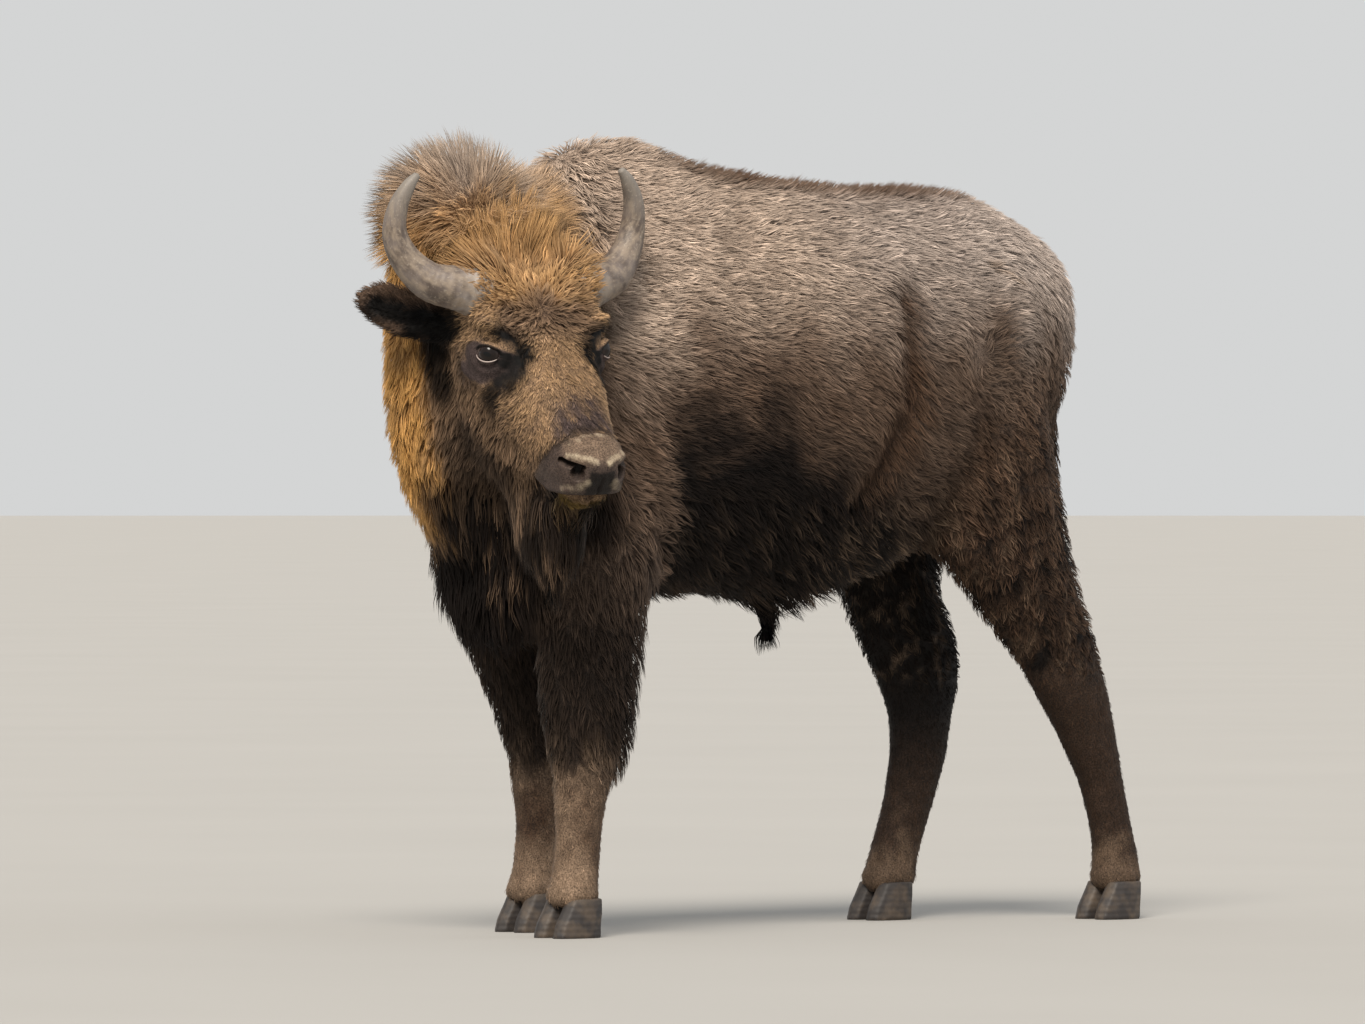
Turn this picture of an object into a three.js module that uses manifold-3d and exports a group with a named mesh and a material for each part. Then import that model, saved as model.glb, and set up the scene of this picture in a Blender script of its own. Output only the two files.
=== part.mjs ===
// A young wisent bull (European bison) as a life-size standing figure, head turned to its left.
// Millimetres, +Z up. The trunk lies along X and the animal faces -X, so its left side faces -Y.
// Every outline is that of the winter coat, out to the tips of the hair. The body is lofted from
// rings, joined where flesh is continuous, and parted with thin cuts into the named pieces.
import * as THREE from "three";
import Module from "manifold-3d";
import { mergeVertices } from "three/addons/utils/BufferGeometryUtils.js";

const wasm = await Module();
wasm.setup();

// ---- driving dimensions ----
const GAP = 0.6; // left between neighbouring pieces
const HEAD_TURN = 81; // degrees, to the left of the trunk's own heading
const HEAD_PITCH = 50; // degrees, face line below the horizontal
const HEAD_ROLL = 2; // degrees, left horn raised
const HEAD_AT = [-587, -210, 1308]; // midpoint of the forehead on the line of the horns
const CREST_AT = [-616, -38, 1420]; // middle of the standing hair on the nape
const SADDLE_AT = [-486, -6, 1362]; // middle of the mane between the nape and the withers
const HORN_SPREAD = 268; // half the greatest width over the horns
const EYE_RADIUS = 23;
const EYE_AT = { f: 170, s: 121, n: -37 }; // in the head's own axes, on the left side
const NOSTRIL_AT = { f: 474, s: 46, n: -40 };
const HOOF_HEIGHT = 78;
const CLEFT = 9; // between the two claws of one foot
const TRUNK_SIDES = 24;
const LIMB_SIDES = 12;
const DOME_ANGLES = [72, 40]; // rings of a domed end, nearest its tip first

const vec = (x, y, z) => new THREE.Vector3(x, y, z);
const X = vec(1, 0, 0);
const Y = vec(0, 1, 0);
const Z = vec(0, 0, 1);

// ---- the head's own axes: f down the face, s to the animal's left, n out of the forehead ----
function headAxes() {
  const turn = THREE.MathUtils.degToRad(HEAD_TURN);
  const pitch = THREE.MathUtils.degToRad(HEAD_PITCH);
  const ahead = vec(-Math.cos(turn), -Math.sin(turn), 0);
  const left = vec(-ahead.y, ahead.x, 0);
  const down = ahead.clone().multiplyScalar(Math.cos(pitch)).addScaledVector(Z, -Math.sin(pitch));
  const out = ahead.clone().multiplyScalar(Math.sin(pitch)).addScaledVector(Z, Math.cos(pitch));
  const roll = new THREE.Quaternion().setFromAxisAngle(ahead, THREE.MathUtils.degToRad(HEAD_ROLL));
  return [down, left, out].map((axis) => axis.applyQuaternion(roll));
}
const [F, S, N] = headAxes();
const headLevel = S.clone().cross(Z).normalize(); // level, the way the head faces
const inHead = (f, s, n) =>
  vec(...HEAD_AT).addScaledVector(F, f).addScaledVector(S, s).addScaledVector(N, n);

// ---- shapes ----
const solid = (geometry) => {
  const bare = geometry.index ? geometry.toNonIndexed() : geometry.clone();
  bare.deleteAttribute("normal");
  bare.deleteAttribute("uv");
  const merged = mergeVertices(bare, 1e-3);
  const made = new wasm.Manifold(
    new wasm.Mesh({
      numProp: 3,
      vertProperties: merged.attributes.position.array,
      triVerts: new Uint32Array(merged.index.array),
    }),
  );
  return made;
};

// A station is one cross-section: its centre, its two axes, its half-width to each side, its reach
// up and down, and how square it is above and below (2 is an ellipse, less is a ridge).
const station = (at, side, up, width, above, below = above, square = 2, squareBelow = square) => ({
  at, side, up, width, above, below, square, squareBelow,
});

const cubic = (a, b, c, d, t) =>
  b + 0.5 * t * (c - a + t * (2 * a - 5 * b + 4 * c - d + t * (3 * (b - c) + d - a)));

// The section at t between stations[i] and stations[i + 1], on a smooth curve through all of them.
function between(stations, i, t) {
  const at = (k) => stations[Math.min(Math.max(k, 0), stations.length - 1)];
  const mix = (get) => cubic(get(at(i - 1)), get(at(i)), get(at(i + 1)), get(at(i + 2)), t);
  const mixVector = (get) => vec(...[0, 1, 2].map((k) => mix((s) => get(s).getComponent(k))));
  const size = (key) => Math.max(mix((s) => s[key]), 1);
  return station(
    mixVector((s) => s.at), mixVector((s) => s.side).normalize(),
    mixVector((s) => s.up).normalize(), size("width"), size("above"), size("below"),
    size("square"), size("squareBelow"),
  );
}

function ringPoints(s, sides, grow, shrink = 1) {
  const points = [];
  for (let k = 0; k < sides; k++) {
    const angle = (2 * Math.PI * (k + 0.5)) / sides;
    const [c, d] = [Math.cos(angle), Math.sin(angle)];
    const power = 2 / (d > 0 ? s.square : s.squareBelow);
    const reach = (d > 0 ? s.above : s.below) + grow;
    const across = Math.sign(c) * Math.abs(c) ** power * (s.width + grow) * shrink;
    const upward = Math.sign(d) * Math.abs(d) ** power * reach * shrink;
    points.push(s.at.clone().addScaledVector(s.side, across).addScaledVector(s.up, upward));
  }
  return points;
}

// A closed loft through the stations, with `steps` rings to each span and domed ends of the given
// heights. A dome of 0 is a flat end. `grow` swells the whole, to cut a clearance with.
function loft(stations, { sides = LIMB_SIDES, steps = 2, domes = [0, 0], grow = 0 } = {}) {
  const rings = [];
  const axisAt = (a, b) => a.at.clone().sub(b.at).normalize();
  const dome = (end, axis, height) => {
    for (const angle of height ? DOME_ANGLES.map(THREE.MathUtils.degToRad) : []) {
      const moved = { ...end, at: end.at.clone().addScaledVector(axis, (height + grow) * Math.sin(angle)) };
      rings.push(ringPoints(moved, sides, grow, Math.cos(angle)));
    }
    if (!height && grow)
      rings.push(ringPoints({ ...end, at: end.at.clone().addScaledVector(axis, grow) }, sides, grow));
  };
  const last = stations.length - 1;
  const firstAxis = axisAt(stations[0], stations[1]);
  const lastAxis = axisAt(stations[last], stations[last - 1]);
  dome(stations[0], firstAxis, domes[0]);
  for (let i = 0; i < last; i++)
    for (let j = 0; j < steps; j++) rings.push(ringPoints(between(stations, i, j / steps), sides, grow));
  rings.push(ringPoints(stations[last], sides, grow));
  const from = rings.length;
  dome(stations[last], lastAxis, domes[1]);
  rings.push(...rings.splice(from).reverse());
  const tips = [
    stations[0].at.clone().addScaledVector(firstAxis, domes[0] + grow),
    stations[last].at.clone().addScaledVector(lastAxis, domes[1] + grow),
  ];
  const points = [...rings.flat(), ...tips];
  const faces = [];
  for (let r = 0; r + 1 < rings.length; r++)
    for (let k = 0; k < sides; k++) {
      const [a, b] = [r * sides + k, r * sides + ((k + 1) % sides)];
      faces.push(a, b, b + sides, a, b + sides, a + sides);
    }
  const end = (rings.length - 1) * sides;
  for (let k = 0; k < sides; k++) {
    const next = (k + 1) % sides;
    faces.push(points.length - 2, next, k, points.length - 1, end + k, end + next);
  }
  const geometry = new THREE.BufferGeometry().setFromPoints(points);
  geometry.setIndex(faces);
  const made = solid(geometry);
  if (made.volume() > 0) return made;
  geometry.setIndex(faces.reverse());
  return solid(geometry);
}

// An ellipsoid at a point, its half-axes along three given directions that make a right-handed set.
function ellipsoid(at, axes, radii, rows = 8, around = 14) {
  const matrix = new THREE.Matrix4().makeBasis(...axes.map((a, k) => a.clone().multiplyScalar(radii[k])));
  matrix.setPosition(at);
  return solid(new THREE.SphereGeometry(1, around, rows).applyMatrix4(matrix));
}

const biggest = (made) => made.decompose().sort((a, b) => b.volume() - a.volume())[0];

// Parts a solid at a plane: the piece that the normal points into, then the other.
function part(made, at, normal) {
  const n = normal.clone().normalize();
  const offset = n.dot(at);
  return [
    made.trimByPlane(n.toArray(), offset + GAP / 2),
    made.trimByPlane(n.clone().negate().toArray(), -offset + GAP / 2),
  ];
}

// ---- trunk: sections across X, from the brisket to the buttocks ----
const across = (x, low, high, width, square, squareBelow, widest = 0.45) => {
  const middle = low + (high - low) * widest;
  return station(vec(x, 0, middle), Y, Z, width, high - middle, middle - low, square, squareBelow);
};
const trunkWhole = loft(
  [
    across(-520, 590, 1430, 182, 1.8, 2.6),
    across(-420, 592, 1532, 222, 1.75, 2.4),
    across(-300, 620, 1588, 246, 1.6, 2.3),
    across(-150, 655, 1602, 258, 1.55, 2.3),
    across(20, 668, 1550, 272, 1.65, 2.3),
    across(220, 655, 1522, 284, 1.8, 2.3),
    across(420, 690, 1507, 274, 1.9, 2.3, 0.48),
    across(600, 760, 1510, 246, 2.0, 2.2, 0.52),
    across(730, 830, 1490, 226, 2.05, 2.1, 0.54),
    across(850, 900, 1440, 192, 2.1, 2.0, 0.56),
    across(925, 960, 1396, 154, 2.2, 2.0, 0.58),
  ],
  { sides: TRUNK_SIDES, steps: 1, domes: [70, 50] },
);

// ---- neck: from the shoulders up to the nape, bending to the left behind the head ----
const upright = (x, y, low, high, width, turn, square = 1.7, squareBelow = 2) => {
  const heading = THREE.MathUtils.degToRad(turn);
  const middle = low + (high - low) * 0.45;
  const side = vec(-Math.sin(heading), Math.cos(heading), 0);
  return station(
    vec(x, y, middle), side, Z, width, high - middle, middle - low, square, squareBelow);
};
const neckWhole = loft(
  [
    upright(-330, 0, 760, 1560, 225, 0),
    upright(-440, 0, 720, 1530, 214, 4, 1.7, 2.4),
    upright(-540, -10, 740, 1574, 200, 14, 2.0, 2.8),
    upright(-628, -46, 800, 1570, 154, 30, 2.0, 2.5),
  ],
  { sides: 18, steps: 1, domes: [30, 120] },
)
  .add(ellipsoid(vec(...CREST_AT), [X, Y, Z], [190, 158, 170], 8, 12))
  .add(ellipsoid(vec(...SADDLE_AT), [X, Y, Z], [190, 176, 172], 6, 10));

// ---- head: sections across the face line ----
const face = (f, front, back, width, square = 2.2, squareBelow = 2.0, widest = 0.6) => {
  const middle = back + (front - back) * widest;
  return station(inHead(f, 0, middle), S, N, width, front - middle, middle - back, square, squareBelow);
};
const headLoft = (grow) => loft(
  [
    face(-60, 30, -240, 124, 2.4),
    face(10, 48, -255, 148, 2.6),
    face(90, 46, -275, 148, 2.5),
    face(165, 24, -306, 146, 2.2, 2.2),
    face(235, 6, -314, 134, 2.2, 2.4),
    face(310, -2, -298, 112, 2.2, 2.4),
    face(385, -4, -240, 88, 2.2, 2.2),
    face(440, -6, -178, 78, 2.6),
    face(478, -16, -154, 68, 2.6),
  ],
  { sides: 18, steps: 1, domes: [50, 24], grow },
);
const blob = (at, radii, grow, rows, around) =>
  ellipsoid(at, [F, S, N], radii.map((r) => r + grow), rows, around);
const crown = (grow) => blob(inHead(-84, 0, -6), [122, 140, 80], grow, 6, 12);
const brow = (side, grow) => blob(inHead(142, side * 124, -6), [44, 30, 30], grow, 5, 8);
const hornBoss = (side, grow) => blob(inHead(46, side * 106, -6), [60, 38, 52], grow, 5, 8);
const headShape = (grow = 0) =>
  [-1, 1].reduce((made, side) => made.add(brow(side, grow)).add(hornBoss(side, grow)),
    headLoft(grow).add(crown(grow)));
const eyeCentre = (side) => inHead(EYE_AT.f, side * EYE_AT.s, EYE_AT.n);
const eyeball = (side, grow = 0) =>
  ellipsoid(eyeCentre(side), [F, S, N], Array(3).fill(EYE_RADIUS + grow), 6, 10);

// ---- horns: round sections along a curve out, up and in again ----
const HORN_POINTS = [
  [52, 96, -6], [33, 155, -6], [10, 206, -10], [-31, 246, 4], [-73, HORN_SPREAD, 33],
  [-106, 266, 74], [-130, 248, 109], [-144, 230, 128],
];
const HORN_RADII = [44, 43, 38, 31, 25, 20, 14, 7];
function horn(side, grow = 0) {
  const centres = HORN_POINTS.map(([f, s, n]) => inHead(f, side * s, n));
  const stations = centres.map((at, k) => {
    const next = centres[Math.min(k + 1, centres.length - 1)];
    const along = next.clone().sub(centres[Math.max(k - 1, 0)]).normalize();
    const outward = N.clone().addScaledVector(along, -N.dot(along)).normalize();
    return station(at, along.clone().cross(outward), outward, HORN_RADII[k], HORN_RADII[k]);
  });
  return loft(stations, { sides: 10, steps: 2, domes: [0, 5], grow });
}

// ---- ears: a leaf along a line from root to tip, hollowed on the side it opens to ----
function ear([root, tip, opens], grow = 0) {
  const along = tip.clone().sub(root).normalize();
  const face = opens.clone().addScaledVector(along, -opens.dot(along)).normalize();
  const wide = along.clone().cross(face);
  const length = tip.distanceTo(root);
  const leaf = [[0, 34, 28], [0.22, 50, 30], [0.5, 58, 27], [0.78, 48, 22], [0.96, 27, 15]].map(
    ([t, width, thick]) =>
      station(root.clone().addScaledVector(along, t * length), wide, face, width, thick));
  const hollow = ellipsoid(
    root.clone().addScaledVector(along, 0.58 * length).addScaledVector(face, 26),
    [along, face, wide], [0.38 * length, 30, 38], 5, 9);
  const whole = loft(leaf, { sides: 10, steps: 1, domes: [12, 12], grow });
  return grow ? whole : whole.subtract(hollow);
}
const EARS = {
  right: [inHead(46, -128, -104), inHead(-54, -290, -126), N.clone().addScaledVector(F, 0.5)],
  left: [inHead(40, 128, -110), inHead(14, 214, -262), S.clone().addScaledVector(F, 0.4)],
};

// ---- legs: level sections from the body down to the pastern ----
// A row is the height, the centre fore and aft, the centre outward of the midline, the reach
// forward and back, and the half-width.
const leg = (side, rows, grow = 0) =>
  loft(
    rows.map(([z, x, out, ahead, behind, width, square = 2]) =>
      station(vec(x, side * out, z), Y, X, width, behind, ahead, square)),
    { sides: LIMB_SIDES, steps: 1, domes: [60, 0], grow },
  );
const FORE_CENTRES = {
  left: [-330, -335, -352, -368, -370, -371, -369, -369, -377, -380, -386, -392, -400],
  right: [-330, -330, -345, -347, -298, -262, -250, -253, -262, -260, -266, -272, -280],
};
const foreleg = (centres) =>
  [
    [980, 148, 165, 160, 96],
    [860, 156, 158, 150, 102],
    [740, 156, 140, 146, 100],
    [640, 152, 124, 130, 94],
    [540, 148, 122, 122, 86],
    [450, 143, 112, 118, 78],
    [380, 139, 100, 112, 68],
    [330, 137, 84, 96, 61],
    [285, 136, 64, 66, 57],
    [225, 135, 55, 57, 49],
    [165, 135, 52, 56, 51],
    [120, 135, 53, 58, 53],
    [HOOF_HEIGHT, 135, 54, 54, 54, 2.3],
  ].map(([z, ...rest], k) => [z, centres[k], ...rest]);
const FORE = {
  left: { foot: -384, rows: foreleg(FORE_CENTRES.left) },
  right: { foot: -264, rows: foreleg(FORE_CENTRES.right) },
};
const HIND = {
  left: {
    foot: 1050,
    rows: [
      [1120, 740, 120, 190, 80, 100],
      [980, 740, 138, 230, 109, 108],
      [850, 740, 150, 240, 139, 106],
      [740, 730, 152, 190, 184, 96],
      [650, 794, 150, 156, 154, 84],
      [560, 857, 147, 139, 139, 72],
      [480, 909, 143, 103, 103, 62],
      [390, 955, 140, 78, 82, 54],
      [280, 1002, 138, 56, 60, 47],
      [180, 1033, 136, 51, 55, 48],
      [125, 1044, 135, 56, 62, 51],
      [HOOF_HEIGHT, 1044, 135, 54, 58, 52, 2.3],
    ],
  },
  right: {
    foot: 664,
    rows: [
      [1120, 740, 120, 190, 80, 100],
      [980, 720, 138, 230, 130, 108],
      [850, 670, 150, 220, 170, 106],
      [740, 660, 150, 160, 160, 96],
      [680, 674, 150, 134, 138, 90],
      [580, 719, 147, 143, 147, 76],
      [530, 738, 145, 136, 142, 70],
      [480, 749, 143, 108, 116, 63],
      [420, 753, 140, 80, 84, 56],
      [340, 742, 138, 70, 84, 50],
      [240, 716, 137, 64, 72, 48],
      [150, 682, 136, 62, 66, 50],
      [HOOF_HEIGHT, 658, 135, 60, 64, 54, 2.3],
    ],
  },
};

// One claw of a foot: flat on the ground, its toe ahead, its top just under the pastern.
function claw(footX, side, outer) {
  const inward = side * (outer ? -1 : 1);
  const y = side * 135 - inward * (CLEFT / 2 + 25);
  const rows = [[0, -24, 60, 56, 27], [26, -20, 56, 52, 27], [52, -12, 48, 46, 26],
    [HOOF_HEIGHT - GAP, -6, 40, 40, 24]];
  return loft(
    rows.map(([z, dx, ahead, behind, width]) =>
      station(vec(footX + dx, y, z), Y, X, width, behind, ahead, 2.3)),
    { sides: 10, steps: 1 },
  );
}

// ---- tail, beard, the tuft on the sheath, and the block that parts the jaw along the mouth ----
const tailWhole = (grow) => loft(
  [
    station(vec(900, 0, 1330), Y, X, 38, 34),
    station(vec(962, 0, 1275), Y, X, 36, 30),
    station(vec(985, 0, 1150), Y, X, 32, 26),
    station(vec(978, -2, 1000), Y, X, 30, 24),
    station(vec(972, -4, 860), Y, X, 40, 34),
    station(vec(972, -6, 740), Y, X, 46, 38),
    station(vec(974, -8, 640), Y, X, 30, 26),
  ],
  { sides: 8, steps: 1, domes: [20, 60], grow },
);
const BEARD_AT = inHead(350, 0, -150);
const beardWhole = (grow) => loft(
  [[30, 82, 112, 178], [-70, 80, 104, 172], [-150, 62, 78, 130], [-222, 30, 40, 52]].map(
    ([drop, width, ahead, behind]) =>
      station(BEARD_AT.clone().addScaledVector(Z, drop), S, headLevel, width, ahead, behind)),
  { sides: 12, steps: 1, domes: [20, 30], grow },
);
const SHEATH_AT = 214; // along the trunk
const sheathTuft = (grow) => loft(
  [[700, 34, 66], [650, 28, 50], [604, 11, 20]].map(
    ([z, width, reach]) => station(vec(SHEATH_AT, 0, z), Y, X, width, reach)),
  { sides: 8, steps: 1, domes: [0, 18], grow },
);
const JAW = { lip: [500, 0, -103], slope: 13, length: 300 };
const jawBlock = (grow) => {
  const slope = THREE.MathUtils.degToRad(JAW.slope);
  const along = F.clone().multiplyScalar(Math.cos(slope)).addScaledVector(N, Math.sin(slope));
  const out = N.clone().multiplyScalar(Math.cos(slope)).addScaledVector(F, -Math.sin(slope));
  const depth = 260;
  const block = new THREE.BoxGeometry(JAW.length + 2 * grow, 400, depth + 2 * grow);
  const middle = inHead(...JAW.lip).addScaledVector(along, 60 - JAW.length / 2).addScaledVector(out, -depth / 2);
  return solid(block.applyMatrix4(new THREE.Matrix4().makeBasis(along, S, out).setPosition(middle)));
};

// ---- joining and parting ----
const CLEARANCE = 0.35; // round a piece that is let into another
const cut = (made, ...tools) => biggest(tools.reduce((left, tool) => left.subtract(tool), made));

const LEGS = {
  front_left: { side: -1, ...FORE.left, top: vec(-330, 0, 800), joint: 312, lean: 0.15 },
  front_right: { side: 1, ...FORE.right, top: vec(-330, 0, 800), joint: 312, lean: 0.15 },
  hind_left: { side: -1, ...HIND.left, top: vec(760, 0, 880), joint: 505, lean: -0.35 },
  hind_right: { side: 1, ...HIND.right, top: vec(700, 0, 880), joint: 490, lean: -0.35 },
};
const pieces = {};
let body = trunkWhole.add(neckWhole);
const legTools = [];
for (const [name, { side, rows, top, joint, lean, foot }] of Object.entries(LEGS)) {
  const slope = vec(lean, 0, 1);
  const [above, limb] = part(leg(side, rows), top, slope);
  legTools.push(leg(side, rows, CLEARANCE).trimByPlane(
    slope.clone().normalize().negate().toArray(), -slope.clone().normalize().dot(top)));
  body = body.add(above);
  const [upper, lower] = part(limb, vec(0, 0, joint), Z);
  pieces[`leg_${name}`] = upper;
  pieces[`shin_${name}`] = lower;
  pieces[`hoof_${name}_outer`] = claw(foot, side, true);
  pieces[`hoof_${name}_inner`] = claw(foot, side, false);
}

const eyes = { left: 1, right: -1 };
let head = headShape();
for (const [name, side] of Object.entries(eyes)) {
  const nostril = blob(inHead(NOSTRIL_AT.f, side * NOSTRIL_AT.s, NOSTRIL_AT.n), [28, 19, 14], 0, 5, 8);
  head = head.subtract(nostril).subtract(eyeball(side, CLEARANCE)).subtract(horn(side, CLEARANCE));
  head = cut(head, ear(EARS[name], CLEARANCE));
  pieces[`eye_${name}`] = eyeball(side);
  pieces[`horn_${name}`] = horn(side);
  pieces[`ear_${name}`] = ear(EARS[name]);
}
pieces.lower_jaw = biggest(head.intersect(jawBlock(-GAP / 2)));
pieces.head = biggest(head.subtract(jawBlock(GAP / 2)));

const headTool = headShape(CLEARANCE);
pieces.beard = cut(beardWhole(0), headTool);
pieces.sheath_tuft = sheathTuft(0);
body = cut(body, headTool, beardWhole(CLEARANCE), tailWhole(CLEARANCE), sheathTuft(CLEARANCE), ...legTools);
for (const [name, side] of Object.entries(eyes))
  body = cut(body, ear(EARS[name], CLEARANCE), horn(side, CLEARANCE));

const planes = [
  ["neck", vec(-430, 0, 1100), vec(-1, 0, 0.35)],
  ["shoulders", vec(-40, 0, 1100), vec(-1, 0, 0)],
  ["barrel", vec(500, 0, 1100), vec(-1, 0, -0.2)],
];
for (const [name, at, normal] of planes) {
  const [piece, rest] = part(body, at, normal).map(biggest);
  pieces[name] = piece;
  body = rest;
}
pieces.hindquarters = body;
[pieces.tail, pieces.tail_tuft] = part(tailWhole(0), vec(0, 0, 880), Z);

// ---- the scene graph ----
const LOOKS = {
  hoof: { color: "#2a2522", roughness: 0.55 },
  horn: { color: "#8d857b", roughness: 0.5 },
  eye: { color: "#140d0a", roughness: 0.08 },
  ear: { color: "#33231b", roughness: 0.95 },
  head: { color: "#85643f", roughness: 0.95 },
  lower_jaw: { color: "#5a4633", roughness: 0.95 },
  beard: { color: "#3a2c22", roughness: 0.95 },
  neck: { color: "#7f6040", roughness: 0.95 },
  shoulders: { color: "#76604b", roughness: 0.95 },
  barrel: { color: "#5f4a3a", roughness: 0.95 },
  hindquarters: { color: "#5c4634", roughness: 0.95 },
  leg: { color: "#33271f", roughness: 0.95 },
  shin: { color: "#3a2c23", roughness: 0.95 },
  tail: { color: "#4a382b", roughness: 0.95 },
  sheath: { color: "#2b211b", roughness: 0.95 },
};
function meshOf(name, made) {
  const { numProp, numVert, vertProperties, triVerts } = made.getMesh();
  const points = [];
  for (let i = 0; i < numVert; i++) points.push(vec(...vertProperties.subarray(i * numProp, i * numProp + 3)));
  const geometry = new THREE.BufferGeometry().setFromPoints(points).setIndex([...triVerts]);
  geometry.computeVertexNormals();
  const kind = Object.keys(LOOKS).find((key) => name.startsWith(key));
  const mesh = new THREE.Mesh(geometry, new THREE.MeshStandardMaterial({ ...LOOKS[kind], metalness: 0 }));
  mesh.name = name;
  return mesh;
}
const wisent = new THREE.Group();
for (const [name, made] of Object.entries(pieces)) wisent.add(meshOf(name, made));

// The origin is on the ground, under the middle of the figure.
const middle = new THREE.Box3().setFromObject(wisent).getCenter(vec(0, 0, 0));
wisent.position.set(-middle.x, -middle.y, 0);

export default wisent;
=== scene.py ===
"""A wisent, the European bison: a still, life-size model of a young bull that looks round to its left."""
import math

import bpy
import numpy as np
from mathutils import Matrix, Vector
from mathutils.bvhtree import BVHTree
from mathutils.kdtree import KDTree


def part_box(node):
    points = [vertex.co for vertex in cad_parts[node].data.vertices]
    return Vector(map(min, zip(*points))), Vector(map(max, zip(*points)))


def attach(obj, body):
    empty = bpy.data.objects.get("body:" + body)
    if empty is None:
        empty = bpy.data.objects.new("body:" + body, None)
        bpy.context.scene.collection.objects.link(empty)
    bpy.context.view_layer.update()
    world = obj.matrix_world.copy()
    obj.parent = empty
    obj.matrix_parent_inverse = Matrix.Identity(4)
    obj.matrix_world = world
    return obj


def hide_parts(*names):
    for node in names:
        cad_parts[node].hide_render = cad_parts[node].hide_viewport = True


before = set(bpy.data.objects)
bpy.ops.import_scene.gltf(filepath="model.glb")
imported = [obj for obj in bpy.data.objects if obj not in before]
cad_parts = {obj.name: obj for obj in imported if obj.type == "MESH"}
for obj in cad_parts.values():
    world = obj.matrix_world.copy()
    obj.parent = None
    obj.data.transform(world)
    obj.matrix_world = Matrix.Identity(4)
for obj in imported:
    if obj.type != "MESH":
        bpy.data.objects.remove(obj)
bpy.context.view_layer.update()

# The nodes of flesh, which one skin replaces, and the three that are only hair, which pieces of hair replace.
FLESH = ["head", "lower_jaw", "neck", "shoulders", "barrel", "hindquarters", "tail", "ear_left", "ear_right"]
FLESH += [f"{part}_{leg}" for part in ("leg", "shin")
          for leg in ("front_left", "front_right", "hind_left", "hind_right")]
HAIR_ONLY = ["beard", "tail_tuft", "sheath_tuft"]

# How the head is carried, as in the part's own source. Lengths are in metres, and a horn's in millimetres.
HEAD_PITCH = math.radians(50)
EYE_AHEAD = 0.170
EYE_RISE = -0.037
EYE_RADIUS = 0.025
EYE_SUNK = 0.004          # the lids hold the eyeball this far below its solid's middle
EYE_BACK = 0.002          # and this far behind it
EYE_LOOKS = (0.79, 0.61, 0.06)    # aside, ahead and up
EYE_SLANTS = (0.9, -0.22)         # its slit runs this way, ahead and up
MOUTH_FRONT = (0.501, -0.088)     # where the lips meet in front: down the face, and out of the forehead
MOUTH_SLOPE = 0.91
# The middle of a horn, down the face, aside and out of the forehead, and its radius there.
HORN_POINTS = [(52, 96, -6), (33, 155, -6), (10, 206, -10), (-31, 246, 4), (-73, 268, 33),
               (-106, 266, 74), (-130, 248, 109), (-144, 230, 128)]
HORN_RADII = [44, 43, 38, 31, 25, 20, 14, 7]
HORN_BOSS = (0.044, 0.112, -0.006)
BOSS_RADIUS = 0.052
BOSS_COAT = 0.005         # how deep the coat is round the root of a horn

MM = 0.001
SKIN_GRID = 12.1 * MM     # the side of the skin's squares, before the face gets finer ones
CLAW_GRID = 4 * MM
SINK_STEPS = 5            # the skin sinks to the bottom of the coat in this many steps


# ---------------------------------------------------------------- small sums

def unit(vectors):
    """The same directions, one metre long."""
    return vectors / np.maximum(np.linalg.norm(vectors, axis=-1, keepdims=True), 1e-9)


def ease(value, start, end):
    """0 before start, 1 after end, and a soft step between them. End may be below start."""
    share = np.clip((value - start) / (end - start), 0, 1)
    return share * share * (3 - 2 * share)


def bump(value, centre, half):
    """1 at the centre, falling softly to 0 about two halves away."""
    return np.exp(-((value - centre) / half) ** 2)


def blend(a, b, share):
    """a where the share is 0, b where it is 1, and between them by the share."""
    return a + (b - a) * share


def middle(node):
    """The middle of a node's box."""
    low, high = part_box(node)
    return np.array((low + high) / 2)


def waver(points, size, seed):
    """A smooth random number from about -1 to 1 at each point, with bumps about that size across."""
    draw = np.random.default_rng(seed)
    total = np.zeros(len(points))
    for _ in range(7):
        direction = unit(draw.normal(size=3))
        turns = 2 * math.pi / (size * draw.uniform(1.2, 3.2))
        total += np.sin(points @ direction * turns + draw.uniform(0, 2 * math.pi))
    # Seven waves together come to about the square root of seven, 2.6.
    return total / 2.6


def from_path(points, path):
    """How far each point is from the line through the path's corners."""
    corners = np.array(path, float)
    least = np.full(len(points), np.inf)
    for start, end in zip(corners[:-1], corners[1:]):
        way = end - start
        share = np.clip((points - start) @ way / (way @ way), 0, 1)
        least = np.minimum(least, np.linalg.norm(points - start - share[:, None] * way, axis=1))
    return least


# ---------------------------------------------------------------- where the head is

LEFT = unit(middle("eye_left") - middle("eye_right"))
AHEAD = unit(np.cross(LEFT, (0, 0, 1)))
OVER = np.cross(AHEAD, LEFT)
NOSE = AHEAD * math.cos(HEAD_PITCH) - OVER * math.sin(HEAD_PITCH)
BROW = AHEAD * math.sin(HEAD_PITCH) + OVER * math.cos(HEAD_PITCH)
HEAD = (middle("eye_left") + middle("eye_right")) / 2 - NOSE * EYE_AHEAD - BROW * EYE_RISE


def on_head(f, s, n):
    """The point f metres down the face, s to its left and n out of the forehead."""
    return HEAD + NOSE * f + LEFT * s + BROW * n


def head_place(points):
    """The same three distances for each point."""
    away = points - HEAD
    return away @ NOSE, away @ LEFT, away @ BROW


def mirrored_place(points):
    """Each point's place on the head, with both sides laid on the left one: down the face, aside, and out."""
    f, s, n = head_place(points)
    return np.stack([f, abs(s), n], 1)


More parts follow.
